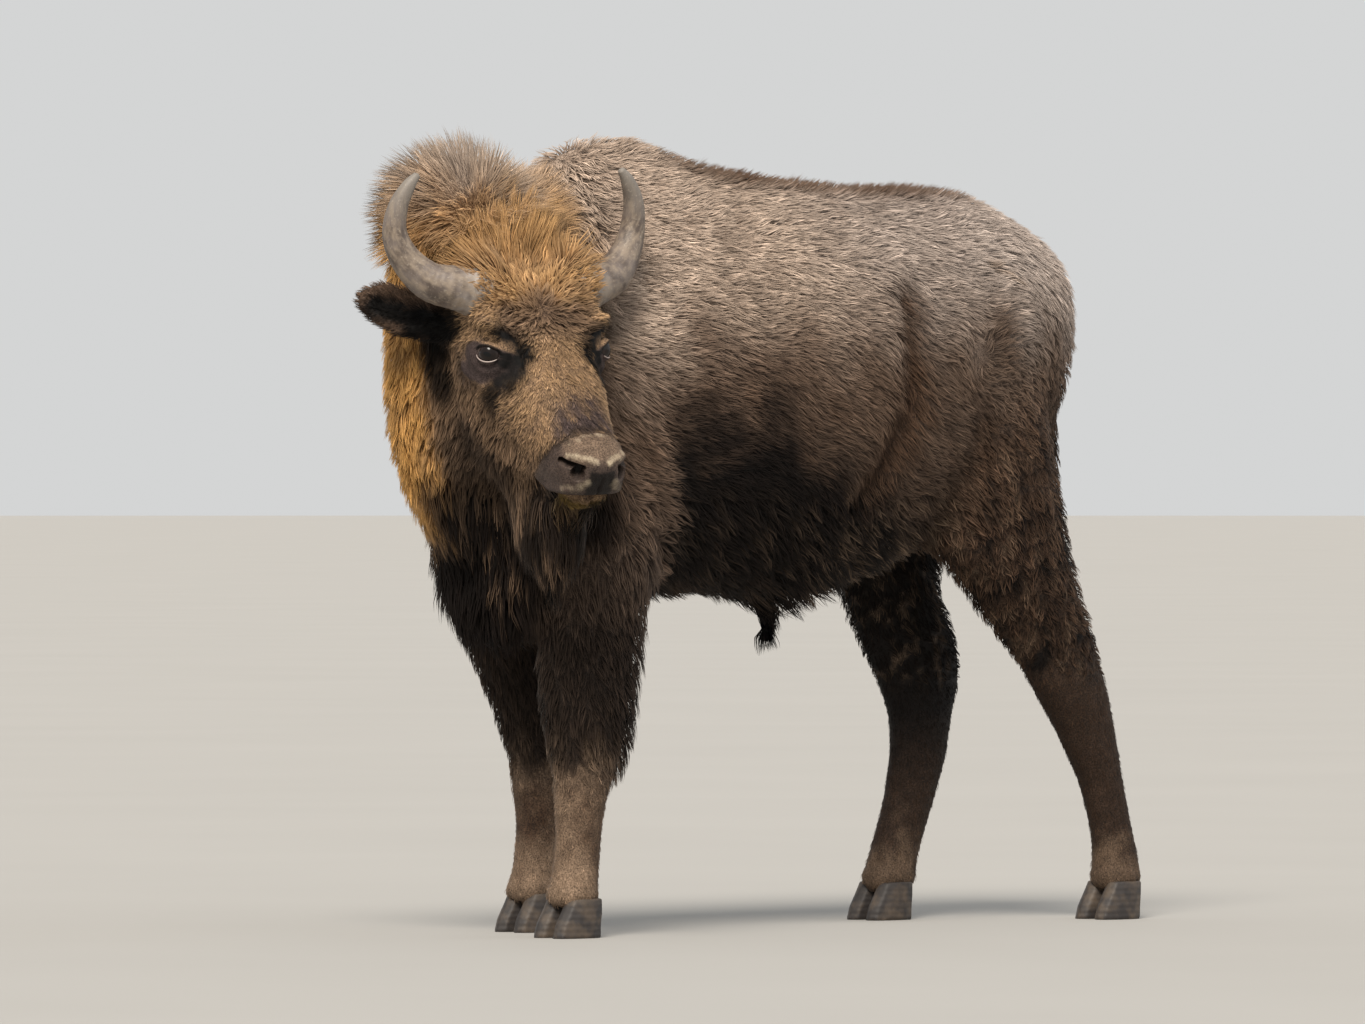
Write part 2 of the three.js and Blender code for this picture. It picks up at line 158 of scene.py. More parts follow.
def eye_axes(side):
    """The eye's middle, the way it looks, along its slit to the front, and up; side is -1 on the right."""
    out = unit(LEFT * side * EYE_LOOKS[0] + AHEAD * EYE_LOOKS[1] + OVER * EYE_LOOKS[2])
    along = unit(AHEAD * EYE_SLANTS[0] + OVER * EYE_SLANTS[1])
    along = unit(along - out * (along @ out))
    up = np.cross(along, out) * side
    up = up if up @ OVER > 0 else -up
    return middle("eye_left" if side > 0 else "eye_right") - up * EYE_SUNK - out * EYE_BACK, out, along, up


def eye_chart(points):
    """Each point's place beside the nearer eye: forward along its slit, up, and out of the head."""
    side = np.where((points - HEAD) @ LEFT > 0, 1, 0)
    charts = []
    for one in (-1, 1):
        centre, out, along, up = eye_axes(one)
        away = points - centre
        charts.append(np.stack([away @ along, away @ up, away @ out], 1))
    return np.stack(charts)[side, np.arange(len(points))]


def mouth_height(f):
    """How far out of the forehead's plane the line between the lips is, by the distance down the face."""
    return MOUTH_FRONT[1] - MOUTH_SLOPE * (MOUTH_FRONT[0] - f)


# ---------------------------------------------------------------- meshes

def make_piece(name, points, faces):
    """A smooth mesh object of these points; each row of faces is one face."""
    mesh = bpy.data.meshes.new(name)
    mesh.vertices.add(len(points))
    mesh.vertices.foreach_set("co", np.asarray(points, np.float32).ravel())
    mesh.loops.add(faces.size)
    mesh.loops.foreach_set("vertex_index", np.asarray(faces, np.int32).ravel())
    mesh.polygons.add(len(faces))
    mesh.polygons.foreach_set("loop_start", np.arange(0, faces.size, faces.shape[1], dtype=np.int32))
    mesh.update(calc_edges=True)
    mesh.polygons.foreach_set("use_smooth", np.ones(len(faces), bool))
    piece = bpy.data.objects.new(name, mesh)
    bpy.context.scene.collection.objects.link(piece)
    return piece


def numbers(items, name, kind, width=1):
    """One named value of every item of a mesh, as an array."""
    found = np.empty(len(items) * width, kind)
    items.foreach_get(name, found)
    return found.reshape(-1, width) if width > 1 else found


def triangles_of(mesh):
    """The point numbers of each triangle of a mesh."""
    mesh.calc_loop_triangles()
    return numbers(mesh.loop_triangles, "vertices", np.int32, 3)


def node_shell(nodes):
    """The faces of these nodes as one set of points and triangles, with each triangle's node number."""
    points, triangles, owner, start = [], [], [], 0
    for number, node in enumerate(nodes):
        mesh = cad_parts[node].data
        points.append(numbers(mesh.vertices, "co", np.float32, 3).astype(float))
        found = triangles_of(mesh)
        triangles.append(found + start)
        owner += [number] * len(found)
        start += len(points[-1])
    return np.concatenate(points), np.concatenate(triangles), np.array(owner)


def ball(centre, radius, around=20, rings=12):
    """Points and triangles of a closed ball."""
    points = [centre + radius * np.array((0, 0, 1.0))]
    for ring in range(1, rings):
        down = math.pi * ring / rings
        turn = np.arange(around) * 2 * math.pi / around
        circle = np.stack([np.cos(turn), np.sin(turn), np.full(around, math.cos(down) / math.sin(down))], 1)
        points += list(centre + radius * math.sin(down) * circle)
    points.append(centre - radius * np.array((0, 0, 1.0)))
    faces = []
    last = len(points) - 1
    for i in range(around):
        j = (i + 1) % around
        faces.append((0, 1 + i, 1 + j))
        faces.append((last, last - around + j, last - around + i))
        for ring in range(rings - 2):
            a, b = 1 + ring * around + i, 1 + ring * around + j
            faces.append((a, a + around, b + around))
            faces.append((a, b + around, b))
    return np.array(points), np.array(faces)


def remeshed(points, triangles, grid):
    """One skin over everything that overlaps or touches, in even squares of that size."""
    rough = make_piece("rough_body", points, triangles)
    change = rough.modifiers.new("one_skin", "REMESH")
    change.mode = "VOXEL"
    change.voxel_size = grid
    whole = bpy.data.meshes.new_from_object(rough.evaluated_get(bpy.context.evaluated_depsgraph_get()))
    bpy.data.objects.remove(rough)
    return whole


def biggest_part(mesh):
    """Takes away every loose shell but the largest, such as those in the gaps between solids."""
    edges = numbers(mesh.edges, "vertices", np.int32, 2)
    label = np.arange(len(mesh.vertices))
    while True:
        low = np.minimum(label[edges[:, 0]], label[edges[:, 1]])
        after = label.copy()
        np.minimum.at(after, edges[:, 0], low)
        np.minimum.at(after, edges[:, 1], low)
        after = after[after]
        if (after == label).all():
            break
        label = after
    keep = label == np.bincount(label).argmax()
    points = numbers(mesh.vertices, "co", np.float32, 3)[keep]
    number = np.cumsum(keep) - 1
    squares = numbers(mesh.loops, "vertex_index", np.int32).reshape(-1, 4)
    squares = squares[keep[squares[:, 0]]]
    return points.astype(float), number[squares]


class Skin:
    """Points and triangles of the skin, with what follows from them."""

    def __init__(self, points, triangles):
        self.points = points
        self.triangles = triangles
        self.read()

    def read(self):
        """Works out the edges again, after the triangles have changed."""
        t = self.triangles
        pairs = np.sort(np.concatenate([t[:, [0, 1]], t[:, [1, 2]], t[:, [2, 0]]]), axis=1)
        numbered = pairs[:, 0].astype(np.int64) * len(self.points) + pairs[:, 1]
        self.keys, first = np.unique(numbered, return_index=True)
        self.edges = pairs[first]
        self.count = np.bincount(self.edges.ravel(), minlength=len(self.points))[:, None]

    def normals(self):
        """The way the skin faces at each point."""
        a, b, c = (self.points[self.triangles[:, k]] for k in range(3))
        face = np.cross(b - a, c - a)
        total = np.zeros_like(self.points)
        for k in range(3):
            for axis in range(3):
                total[:, axis] += np.bincount(self.triangles[:, k], face[:, axis], len(self.points))
        return unit(total)

    def spread(self, values, rounds, share=0.5, hold=None):
        """Values at the points, each moved towards its neighbours' mean by the share, round by round."""
        one, two = self.edges.T
        shape = values.shape
        values = values.reshape(len(values), -1)
        for _ in range(rounds):
            total = np.stack([np.bincount(one, values[two, k], len(values))
                              + np.bincount(two, values[one, k], len(values))
                              for k in range(values.shape[1])], 1)
            step = (total / self.count - values) * share
            values = values + (step if hold is None else step * hold[:, None])
        return values.reshape(shape)

    def even(self, rounds, hold=None):
        """Takes out facets and keeps the size: a smoothing step, then a slightly larger one back."""
        for _ in range(rounds):
            self.points = self.spread(self.points, 1, 0.55, hold)
            self.points = self.spread(self.points, 1, -0.57, hold)

    def refine(self, near):
        """Splits each triangle with a point in near into four, and the ones beside them into two or three."""
        t = self.triangles
        inside = near[t].any(1)
        pairs = np.sort(np.stack([t[:, [0, 1]], t[:, [1, 2]], t[:, [2, 0]]], 1), axis=2)
        number = np.searchsorted(self.keys, pairs[..., 0].astype(np.int64) * len(self.points) + pairs[..., 1])
        split = np.zeros(len(self.keys), bool)
        split[number[inside].ravel()] = True
        new = np.full(len(self.keys), -1)
        new[split] = len(self.points) + np.arange(split.sum())
        self.points = np.concatenate([self.points, self.points[self.edges[split]].mean(1)])
        mids = new[number]
        cut = mids >= 0
        amount = cut.sum(1)
        made = [t[amount == 0]]
        whole, m = t[amount == 3], mids[amount == 3]
        a, b, c = whole.T
        ab, bc, ca = m.T
        made += [np.stack(x, 1) for x in ((a, ab, ca), (ab, b, bc), (ca, bc, c), (ab, bc, ca))]
        for k in range(3):
            turn = [k, (k + 1) % 3, (k + 2) % 3]
            one = (amount == 1) & cut[:, k]
            a, b, c = t[one][:, turn].T
            ab = mids[one][:, k]
            made += [np.stack((a, ab, c), 1), np.stack((ab, b, c), 1)]
            two = (amount == 2) & ~cut[:, (k + 2) % 3]
            a, b, c = t[two][:, turn].T
            ab, bc = mids[two][:, k], mids[two][:, (k + 1) % 3]
            made += [np.stack((ab, b, bc), 1), np.stack((a, ab, bc), 1), np.stack((a, bc, c), 1)]
        self.triangles = np.concatenate(made)
        self.read()


# ---------------------------------------------------------------- the skin's rough shape

def start_skin():
    """The coat's outer form: all nodes that bear hair in one, smooth, with small triangles on the face."""
    points, triangles, owner = node_shell(FLESH + HAIR_ONLY)
    fillers = [ball(eye_axes(side)[0], EYE_RADIUS) for side in (-1, 1)]
    f, s, n = HORN_BOSS
    fillers += [ball(on_head(f, side * s, n), BOSS_RADIUS) for side in (-1, 1)]
    tree = BVHTree.FromPolygons(points.tolist(), triangles.tolist())
    for more, faces in fillers:
        triangles = np.concatenate([triangles, faces + len(points)])
        points = np.concatenate([points, more])
    cloud, squares = biggest_part(remeshed(points, triangles, SKIN_GRID))
    made = Skin(cloud, np.concatenate([squares[:, [0, 1, 2]], squares[:, [0, 2, 3]]]))
    by_ear = ease(ear_distance(made.points), 0.085, 0.060)
    made.even(28, 1 - 0.7 * by_ear)
    # The triangles get finer three times: on the face, then by eyes and nose, then at lids and nostrils.
    for level in range(3):
        f, s, n = head_place(made.points)
        near_eye = np.linalg.norm(eye_chart(made.points), axis=1)
        face = (f > -0.03) & (f < 0.56) & (abs(s) < 0.18) & (n > -0.2)
        small = (near_eye < 0.085) | ((f > 0.40) & (abs(s) < 0.11) & (n > -0.17))
        finest = (near_eye < 0.045) | ((f > 0.43) & (abs(s) < 0.09) & (n > -0.10) & (n < 0.0))
        made.refine((face, small, finest)[level])
        f, s, n = head_place(made.points)
        made.even(5, 1.0 * ((f > -0.03) & (abs(s) < 0.18) & (n > -0.2)))
    nearest = np.array([tree.find_nearest(p)[2] for p in made.points.tolist()])
    names = np.array(FLESH + HAIR_ONLY)[owner[nearest]]
    return made, names


# ---------------------------------------------------------------- which hair grows where

MIDLINE = middle("barrel")[1]     # the left side of the trunk is below it, the right side above
# The whorls of hair on the forehead and the left thigh, and the middle of the crest on the nape.
WHORL = on_head(0.115, 0.0, 0.02)
THIGH_WHORL = np.array((0.48, MIDLINE - 0.25, 1.147))
CREST_MIDDLE = np.array((-0.730, 0.074, 1.420))
# The line down the middle of each ear, from its root to its tip.
EAR_ROOTS = {"ear_right": (on_head(0.046, -0.128, -0.104), on_head(-0.054, -0.290, -0.126)),
             "ear_left": (on_head(0.040, 0.128, -0.110), on_head(0.014, 0.214, -0.262))}
# Down the face, aside and out of the forehead: the brown hair of the cheek, where it lies on the neck, and
# the black behind and below an ear, partly black hair and partly painted shadow between the ear and the neck.
CHEEK_LINE = [(0.050, 0.120, -0.150), (0.137, 0.120, -0.210), (0.215, 0.095, -0.280), (0.260, 0.060, -0.340)]
EAR_SHADE = [(0.052, 0.155, -0.085), (0.030, 0.175, -0.115), (0.030, 0.190, -0.165), (0.070, 0.155, -0.165),
             (0.120, 0.150, -0.185)]
# Down the face, to its left and out of the forehead: where brown streaks run through the dark throat.
JAW_STREAKS = [(0.260, -0.085, -0.290), (0.300, -0.055, -0.400), (0.370, -0.010, -0.440)]
# Along the trunk and up: the fold before the thigh, the forequarter's rear edge, and a scratch on the hip.
FLANK_FOLD = [(0.268, 1.27), (0.262, 1.05), (0.223, 1.0), (0.178, 0.92), (0.135, 0.86)]
FORE_EDGE = [(-0.290, 0.66), (-0.301, 0.821), (-0.365, 0.979), (-0.425, 1.058)]
HIP_SCRATCH = [(0.514, 1.341), (0.599, 1.309)]

# For each kind of hair: how deep the coat is over the skin, a lock's length and its width in millimetres, its
# lean off the skin at the root and at the tip in degrees, its wave, and locks to the square decimetre.
COAT = {
    "bare": (0.5, 5, 1.6, 25, 10, 0.0, 0),
    "face": (6, 22, 2.1, 34, 12, 0.34, 650),
    "forehead": (18, 36, 2.4, 50, 16, 0.46, 720),
    "crown": (60, 96, 2.4, 62, 40, 0.12, 480),
    "crest": (72, 94, 2.0, 74, 52, 0.16, 520),
    "neck": (28, 54, 2.5, 50, 18, 0.38, 370),
    "cheek": (13, 40, 2.3, 36, 12, 0.26, 400),
    "throat": (30, 112, 3.6, 34, 8, 0.24, 200),
    "beard": (24, 108, 2.8, 28, 3, 0.20, 300),
    "sheath": (18, 80, 2.6, 14, 4, 0.14, 420),
    "hump": (20, 50, 2.2, 32, 9, 0.26, 480),
    "ridge": (28, 42, 2.1, 62, 36, 0.12, 380),
    "flank": (14, 48, 2.1, 27, 7, 0.22, 390),
    "belly": (28, 66, 3.0, 42, 10, 0.42, 175),
    "rump": (14, 40, 2.0, 34, 11, 0.18, 450),
    "thigh": (18, 34, 2.7, 52, 20, 0.60, 195),
    "foreleg": (16, 42, 2.9, 36, 12, 0.18, 195),
    "shin": (5, 15, 1.8, 28, 8, 0.06, 240),
    "ear": (2, 21, 1.9, 30, 20, 0.14, 620),
    "tail": (8, 46, 2.8, 26, 8, 0.12, 300),
}
KINDS = list(COAT)
DEPTH, PER_AREA = 0, 6      # their places in a row


def trunk_share(near):
    """How far each point is on the trunk."""
    return near["shoulders"] + near["barrel"] + near["hindquarters"]


def behind_forequarter(x, z):
    """How far along the trunk a place is behind the forequarter's rear edge."""
    return x - np.interp(z, [row[1] for row in FORE_EDGE], [row[0] for row in FORE_EDGE])


def throat_top(n):
    """The height where the dark hair of the throat starts, lower on the outside of the neck."""
    return 0.81 + 0.09 * ease(n, -0.48, -0.38)


def hair_kinds(points, normals, near):
    """How much of each kind of hair grows at each point; near gives the share of each node there."""
    x, y, z = points.T
    f, s, n = head_place(points)
    along, up, _ = eye_chart(points).T
    head = near["head"] + near["lower_jaw"]
    trunk = trunk_share(near)
    nose = ease(f, 0.396, 0.412) * ease(n - mouth_height(f), -0.008, 0.002) * ease(n, -0.155, -0.135)
    ragged = 0.14 * waver(points, 0.03, 14) + 0.08 * waver(points, 0.012, 15)
    eyelids = ease(np.hypot((along + 0.003) / 0.070, (up + 0.010) / 0.058) + ragged, 1.10, 0.84)
    bare = np.clip(nose + eyelids * (f > 0.02), 0, 1)
    crown = ease(f, 0.050, -0.010) * ease(n, -0.13, -0.08)
    brow_edge = blend(0.155, 0.110, ease(f, 0.06, 0.12))
    forehead = ease(f, 0.20, 0.13) * ease(abs(s), brow_edge, brow_edge - 0.03) * ease(n, -0.07, -0.03)
    forehead = forehead * (1 - crown)
    jowl = ease(n, -0.095, -0.135) * ease(f, 0.40, 0.33)
    crest = ease(z, 1.30, 1.37) * ease(np.linalg.norm(points - CREST_MIDDLE, axis=1), 0.27, 0.21)
    cheek = ease(from_path(mirrored_place(points), CHEEK_LINE), 0.075, 0.035) * ease(z, 0.86, 0.91)
    low_neck = ease(z, throat_top(n) + 0.02, throat_top(n) - 0.03)
    ridge = (ease(abs(y - MIDLINE), 0.11, 0.05) * ease(normals[:, 2], 0.3, 0.6)
             * ease(x, -0.30, -0.12) * ease(x, 0.64, 0.52))
    rear = ease(x, 0.42, 0.57)
    upper = ease(z, 1.12, 1.24)
    chest = ease(x, -0.44, -0.52) * ease(z, 1.0, 0.88)
    belly = ease(z, 0.93, 0.80) * (1 - rear) * (1 - chest)
    hump = ease(x, 0.14, -0.10) * ease(z, 1.12, 1.26)
    found = {
        "bare": head * bare,
        "face": head * (1 - bare) * (1 - crown) * (1 - forehead) * (1 - jowl),
        "cheek": head * (1 - bare) * jowl + near["neck"] * cheek * (1 - crest),
        "forehead": head * forehead * (1 - bare),
        "crown": head * crown,
        "crest": near["neck"] * crest,
        "neck": near["neck"] * (1 - crest) * (1 - low_neck) * (1 - cheek),
        "throat": near["neck"] * (1 - crest) * low_neck * (1 - cheek) + trunk * chest,
        "beard": near["beard"],
        "sheath": near["sheath_tuft"],
        "ridge": trunk * ridge,
        "hump": trunk * hump * (1 - ridge) * (1 - chest),
        "rump": trunk * rear * upper * (1 - ridge),
        "thigh": trunk * rear * (1 - upper) + near["leg_hind_left"] + near["leg_hind_right"],
        "belly": trunk * belly,
        "foreleg": near["leg_front_left"] + near["leg_front_right"],
        "shin": sum(near[node] for node in FLESH if node.startswith("shin")),
        "ear": near["ear_left"] + near["ear_right"],
        "tail": near["tail"] + near["tail_tuft"],
    }
    rest = np.clip(1 - sum(found.values()), 0, 1)
    found["flank"] = trunk * rest
    total = sum(found.values()) + 1e-9
    return np.stack([found[kind] / total for kind in KINDS], 1)


def by_horn(points):
    """1 on the boss that carries a horn, falling to 0 about 50 mm from it."""
    return ease(np.linalg.norm(mirrored_place(points) - HORN_BOSS, axis=1), 0.100, 0.060)


def ear_distance(points):
    """How far each point is from the line down the middle of the nearer ear, which stops short of the tip."""
    sunk = points - NOSE * 0.012 + BROW * 0.010
    lines = [(root, blend(root, tip, 0.8)) for root, tip in EAR_ROOTS.values()]
    return np.min([from_path(sunk, line) for line in lines], axis=0)


def coat_lie(points, normals, near, kinds):
    """The way the hair points at each place, along the skin."""
    x, y, z = points.T
    share = dict(zip(KINDS, kinds.T))
    _, s, n = head_place(points)
    slope = np.radians(12 + 14 * ease(z, 1.35, 1.0) + 62 * ease(x, 0.52, 0.80)
                       + 34 * ease(x, 0.36, 0.6) * ease(z, 1.2, 1.0) + 30 * ease(x, -0.45, -0.62)
                       + 34 * ease(from_path(points[:, [0, 2]], FLANK_FOLD), 0.10, 0.02))
    slope += 0.16 * waver(points, 0.16, 11) + 0.08 * waver(points, 0.05, 12)
    lie = np.stack([np.cos(slope), np.zeros(len(x)), -np.sin(slope)], 1)
    down = np.array((0.16, 0.0, -1.0))
    jaw_way = unit(-BROW * 0.8 - NOSE * 0.15)
    beside_face = ease(abs(s), 0.07, 0.12)[:, None] * ease(n, 0.0, -0.05)[:, None]
    face = blend(unit(points - WHORL), jaw_way, beside_face)
    # Each way the hair may point, and how far it holds; later ones cover earlier ones.
    ways = [(face, share[kind]) for kind in ("face", "forehead", "bare")]
    ways += [(np.sign(s)[:, None] * LEFT, 0.7 * by_horn(points)),
             (unit(jaw_way + np.array((0, 0, -0.9))), share["cheek"]),
             (unit(points - on_head(0.10, 0.0, -0.03)), share["crown"]),
             (unit(points - CREST_MIDDLE + np.array((-0.06, 0.0, -0.02))), share["crest"]),
             (unit(np.array((0.30, 0.0, -1.0))), share["neck"])]
    ways += [(down, share[kind]) for kind in ("throat", "beard", "tail", "foreleg", "shin")]
    ways += [(np.array((-0.06, 0.0, -1.0)), share["sheath"]),
             (down, near["leg_hind_left"] + near["leg_hind_right"])]
    for node, (root, tip) in EAR_ROOTS.items():
        reach = np.clip((points - root) @ (tip - root) / ((tip - root) @ (tip - root)), 0, 0.7)[:, None]
        off_middle = unit(points - root - reach * (tip - root))
        ways.append((unit(unit(tip - root) + 0.9 * off_middle), near[node]))
    around = points - THIGH_WHORL
    swirl = np.cross(around, (0, 1.0, 0)) + around * 0.7
    on_thigh = bump(np.linalg.norm(around[:, [0, 2]], axis=1), 0.0, 0.11) * (y < MIDLINE) * trunk_share(near)
    ways.append((unit(swirl), 0.7 * on_thigh))
    for way, amount in ways:
        lie = blend(lie, way, amount[:, None])
    lie += 0.12 * np.stack([waver(points, 0.07, seed) for seed in (21, 22, 23)], 1)
    lie -= normals * (lie * normals).sum(1, keepdims=True)
    return unit(lie)


def length_share(points, normals, near, kinds):
    """A lock's length against its kind's: more behind the forelegs and by the sheath, less down a leg."""
    share = dict(zip(KINDS, kinds.T))
    z = points[:, 2]
    behind_leg = 0.9 * share["foreleg"] * ease(normals[:, 0], 0.2, 0.8)
    by_sheath = bump(points[:, 0], middle("sheath_tuft")[0], 0.08) * ease(z, 0.75, 0.71)
    by_hock = (near["leg_hind_left"] + near["leg_hind_right"]) * ease(z, 0.66, 0.50)
    by_knee = (near["leg_front_left"] + near["leg_front_right"]) * ease(z, 0.42, 0.32)
    return (1 + behind_leg + 0.8 * share["belly"] * by_sheath) * (1 - 0.5 * by_hock - 0.4 * by_knee)


# ---------------------------------------------------------------- the coat's markings

# Each marking: the colour of its hair at the root and at the tip. Later ones cover earlier ones.
EARTH = ("#453830", "#7a6657")
MARKINGS = {
    "straw": ("#6a584b", "#c8b3a1"),
    "ash": ("#756860", "#c3b4a9"),
    "fleece": ("#74655a", "#a99a8d"),
    "gold": ("#855625", "#dca864"),
    "umber": ("#201813", "#533f31"),
    "dark": ("#080605", "#1a1411"),
    "mud": ("#4e3f32", "#947d68"),
    "orange": ("#6a4726", "#a9855a"),
    "face": ("#46342a", "#b4926c"),
    "cheek": ("#32261e", "#896f57"),
    "bare": ("#2c2322", "#544744"),
    "leather": ("#2c2320", "#55473f"),
    "chin": ("#372b13", "#6d582e"),
    "pitch": ("#040303", "#0c0a09"),
    "cream": ("#94836c", "#c3b49b"),
}

# Beside the eye, along its slit and up: the fold under the brow, painted dark as the shade in it, and the
# stain of tears.
BROW_FOLD = [(-0.082, 0.026), (-0.060, 0.042), (-0.020, 0.048), (0.024, 0.046), (0.054, 0.036),
             (0.070, 0.020)]
TEAR_STAIN = [(0.046, -0.006), (0.067, -0.012), (0.062, -0.032), (0.036, -0.052), (0.031, -0.078),
              (0.034, -0.096)]
# On the muzzle, down the face, aside and out of the forehead: the nostril's slit and its hollow, the mud on
# the rim over it, the ragged line where the bare nose starts, the shadow round it, and the pale skin under
# the nostril.
NOSTRIL = [(0.443, 0.074, -0.043), (0.463, 0.060, -0.035), (0.478, 0.042, -0.030)]
NOSTRIL_HOLLOW = (0.479, 0.048, -0.042)
NOSTRIL_RIM = [(0.446, 0.062, -0.027), (0.457, 0.044, -0.018), (0.469, 0.026, -0.015), (0.474, 0.015, -0.015)]
NOSE_EDGE = [(0.426, 0.056, -0.016), (0.412, 0.026, -0.007), (0.411, 0.0, -0.007)]
NOSE_SHADE = [(0.399, 0.084, -0.079), (0.406, 0.066, -0.032), (0.394, 0.031, -0.009), (0.388, 0.0, -0.007)]
UNDER_NOSTRIL = [(0.493, 0.030, -0.052), (0.490, 0.044, -0.070), (0.478, 0.058, -0.082)]
MUZZLE_START = (0.36, 0.40)     # down the face: between the skin round the eyes and that of the nose


def nostril_pits(points):
    """How far each point belongs to the bottom of a nostril, from 0 to 1."""
    place = mirrored_place(points)
    slit = ease(from_path(place, NOSTRIL), 0.0085, 0.0025)
    hollow = ease(np.linalg.norm(place - NOSTRIL_HOLLOW, axis=1), 0.0165, 0.007)
    return np.maximum(slit, hollow)


def speckle(points):
    """Slow, quick and fine changes over the coat, from about -1 to 1, with bumps 100, 30 and 12 mm across."""
    return waver(points, 0.10, 31), waver(points, 0.03, 32), waver(points, 0.012, 36)


def trunk_marks(points, normals, near, share):
    """A pale back, a dark belly and a golden neck, with soil on the flank: partly the coat's own colours and
    partly painted light and shade, with painted shade in the flank's fold and where the trunk faces up.
    """
    x, y, z = points.T
    patchy, small, fine = speckle(points)
    trunk = trunk_share(near)
    rear = ease(x, 0.30, 0.50)
    aft = ease(x, -0.08, 0.25)
    high = ease(z + 0.03 * patchy + 0.01 * small + 0.12 * ease(x, -0.15, -0.42), 1.10, 1.38)
    low = ease(z + 0.05 * patchy + 0.03 * small + 0.16 * aft, 1.12, 0.90) * (1 - 0.45 * aft) * (1 - rear)
    top = ease(normals[:, 2], 0.35, 0.85)
    forequarter = ease(behind_forequarter(x, z) + 0.012 * small, 0.02, -0.02) * ease(z, 1.10, 1.04)
    fold = ease(from_path(points[:, [0, 2]], FLANK_FOLD) + 0.012 * small, 0.070, 0.0)
    scratch = ease(from_path(points[:, [0, 2]], HIP_SCRATCH) + 0.002 * fine, 0.009, 0.003) * (y < MIDLINE)
    withers = 1 - 0.85 * share["ridge"] * ease(x, -0.35, -0.15)
    outer_neck = share["neck"] * (0.8 + 0.2 * small) * ease(x + 0.05 * patchy, -0.44, -0.58)
    return {
        # Paler high on the back and neck: partly the hair's straw tips, partly painted light from above.
        "straw": trunk * high * ease(x, 0.46, 0.0) * withers
                 + 0.8 * near["neck"] * ease(z, 1.32, 1.38) * (1 - share["crest"]),
        "ash": trunk * high * ease(x, -0.10, 0.35) * blend(0.82, 1.0, ease(x, 0.40, 0.55))
               * (1 - 0.9 * share["ridge"]),
        "fleece": share["crest"],
        # Gold at the front of the neck: partly golden hair, partly painted light along its front edge.
        "gold": outer_neck * ease(z, 1.44, 1.34) + 0.75 * share["crest"] * ease(z + 0.02 * small, 1.52, 1.36),
        # The fold before the thigh is painted darker as the shade in it.
        "umber": 0.3 * trunk * forequarter + 0.8 * trunk * fold
                 # Darker lower down the rear and the flank: partly dark hair, partly painted shade of the
                 # underside.
                 + 0.95 * trunk * rear * ease(z + 0.06 * patchy + 0.03 * small, 1.16, 0.93)
                 + 0.45 * trunk * (1 - rear) * (1 - forequarter) * ease(z + 0.05 * patchy, 1.28, 1.02)
                 # A little painted shade on the trunk where it faces up.
                 + trunk * (0.2 * top + 0.5 * share["ridge"])
                 + 0.3 * (trunk + share["crest"]) * (1 - 0.7 * rear) * ease(patchy + small, 0.3, 1.6)
                 + 0.1 * share["neck"] * ease(x, -0.62, -0.50),
        # The dark low flank and belly: partly dark hair, partly painted shade of the underside.
        "dark": trunk * low * (1 - forequarter) + share["sheath"] + 0.6 * share["tail"]
                + share["belly"] * (1 - 0.5 * rear) * (1 - 0.9 * forequarter) * (1 - 0.5 * aft),
        "mud": share["belly"] * blend(0.15, 0.5, aft) * ease(small + fine, 0.2, 1.4) + 0.7 * scratch,
    }


def leg_marks(points, near, share):
    """Dark legs, the right hind one darkest, as it is on the far side and painted with its shade, with
    mottled thighs and dried mud on forelegs and pasterns.
    """
    x, _, z = points.T
    patchy, small, fine = speckle(points)
    hind = near["leg_hind_left"] + near["leg_hind_right"]
    haunch = hind + trunk_share(near) * ease(x, 0.30, 0.50)
    return {
        "umber": hind + share["shin"],
        "dark": share["foreleg"] * blend(0.85, 0.55, ease(z, 0.58, 0.68))
                + 0.45 * share["shin"] * ease(x, 0.0, 0.1)
                + hind * blend(0.15, 0.5, ease(z, 0.66, 0.46))
                + 0.8 * haunch * ease(small + 0.7 * fine, 0.1, 1.3) * ease(z, 1.15, 0.95)
                # The far right hind leg and its shin are painted darker as their shade under the belly.
                + 0.9 * near["leg_hind_right"] + 0.6 * near["shin_hind_right"] * ease(z, 0.20, 0.48),
        "mud": (share["shin"] + share["foreleg"]) * ease(x, 0.0, -0.1) * ease(z + 0.05 * small, 0.42, 0.30)
               * (0.55 + 0.3 * patchy + 0.15 * fine)
               + 0.35 * haunch * ease(fine - 0.7 * small, 0.4, 1.6) * ease(z, 1.1, 0.9)
               + 0.4 * share["shin"] * ease(z + 0.04 * small, 0.20, 0.10),
    }


def throat_marks(points, share):
    """A near black throat and beard, streaked with brown by the jaw."""
    _, small, _ = speckle(points)
    streaks = ease(waver(points * (1, 1, 0.3), 0.02, 37), -0.2, 0.9)
    by_jaw = ease(from_path(np.stack(head_place(points), 1), JAW_STREAKS) + 0.01 * small, 0.072, 0.034)
    return {
        "dark": share["throat"] * (1 - 0.7 * streaks * by_jaw) + 0.95 * share["beard"] * (1 - 0.8 * streaks),
        "cheek": 0.6 * share["throat"] * streaks * by_jaw + 0.5 * share["beard"] * streaks,
    }


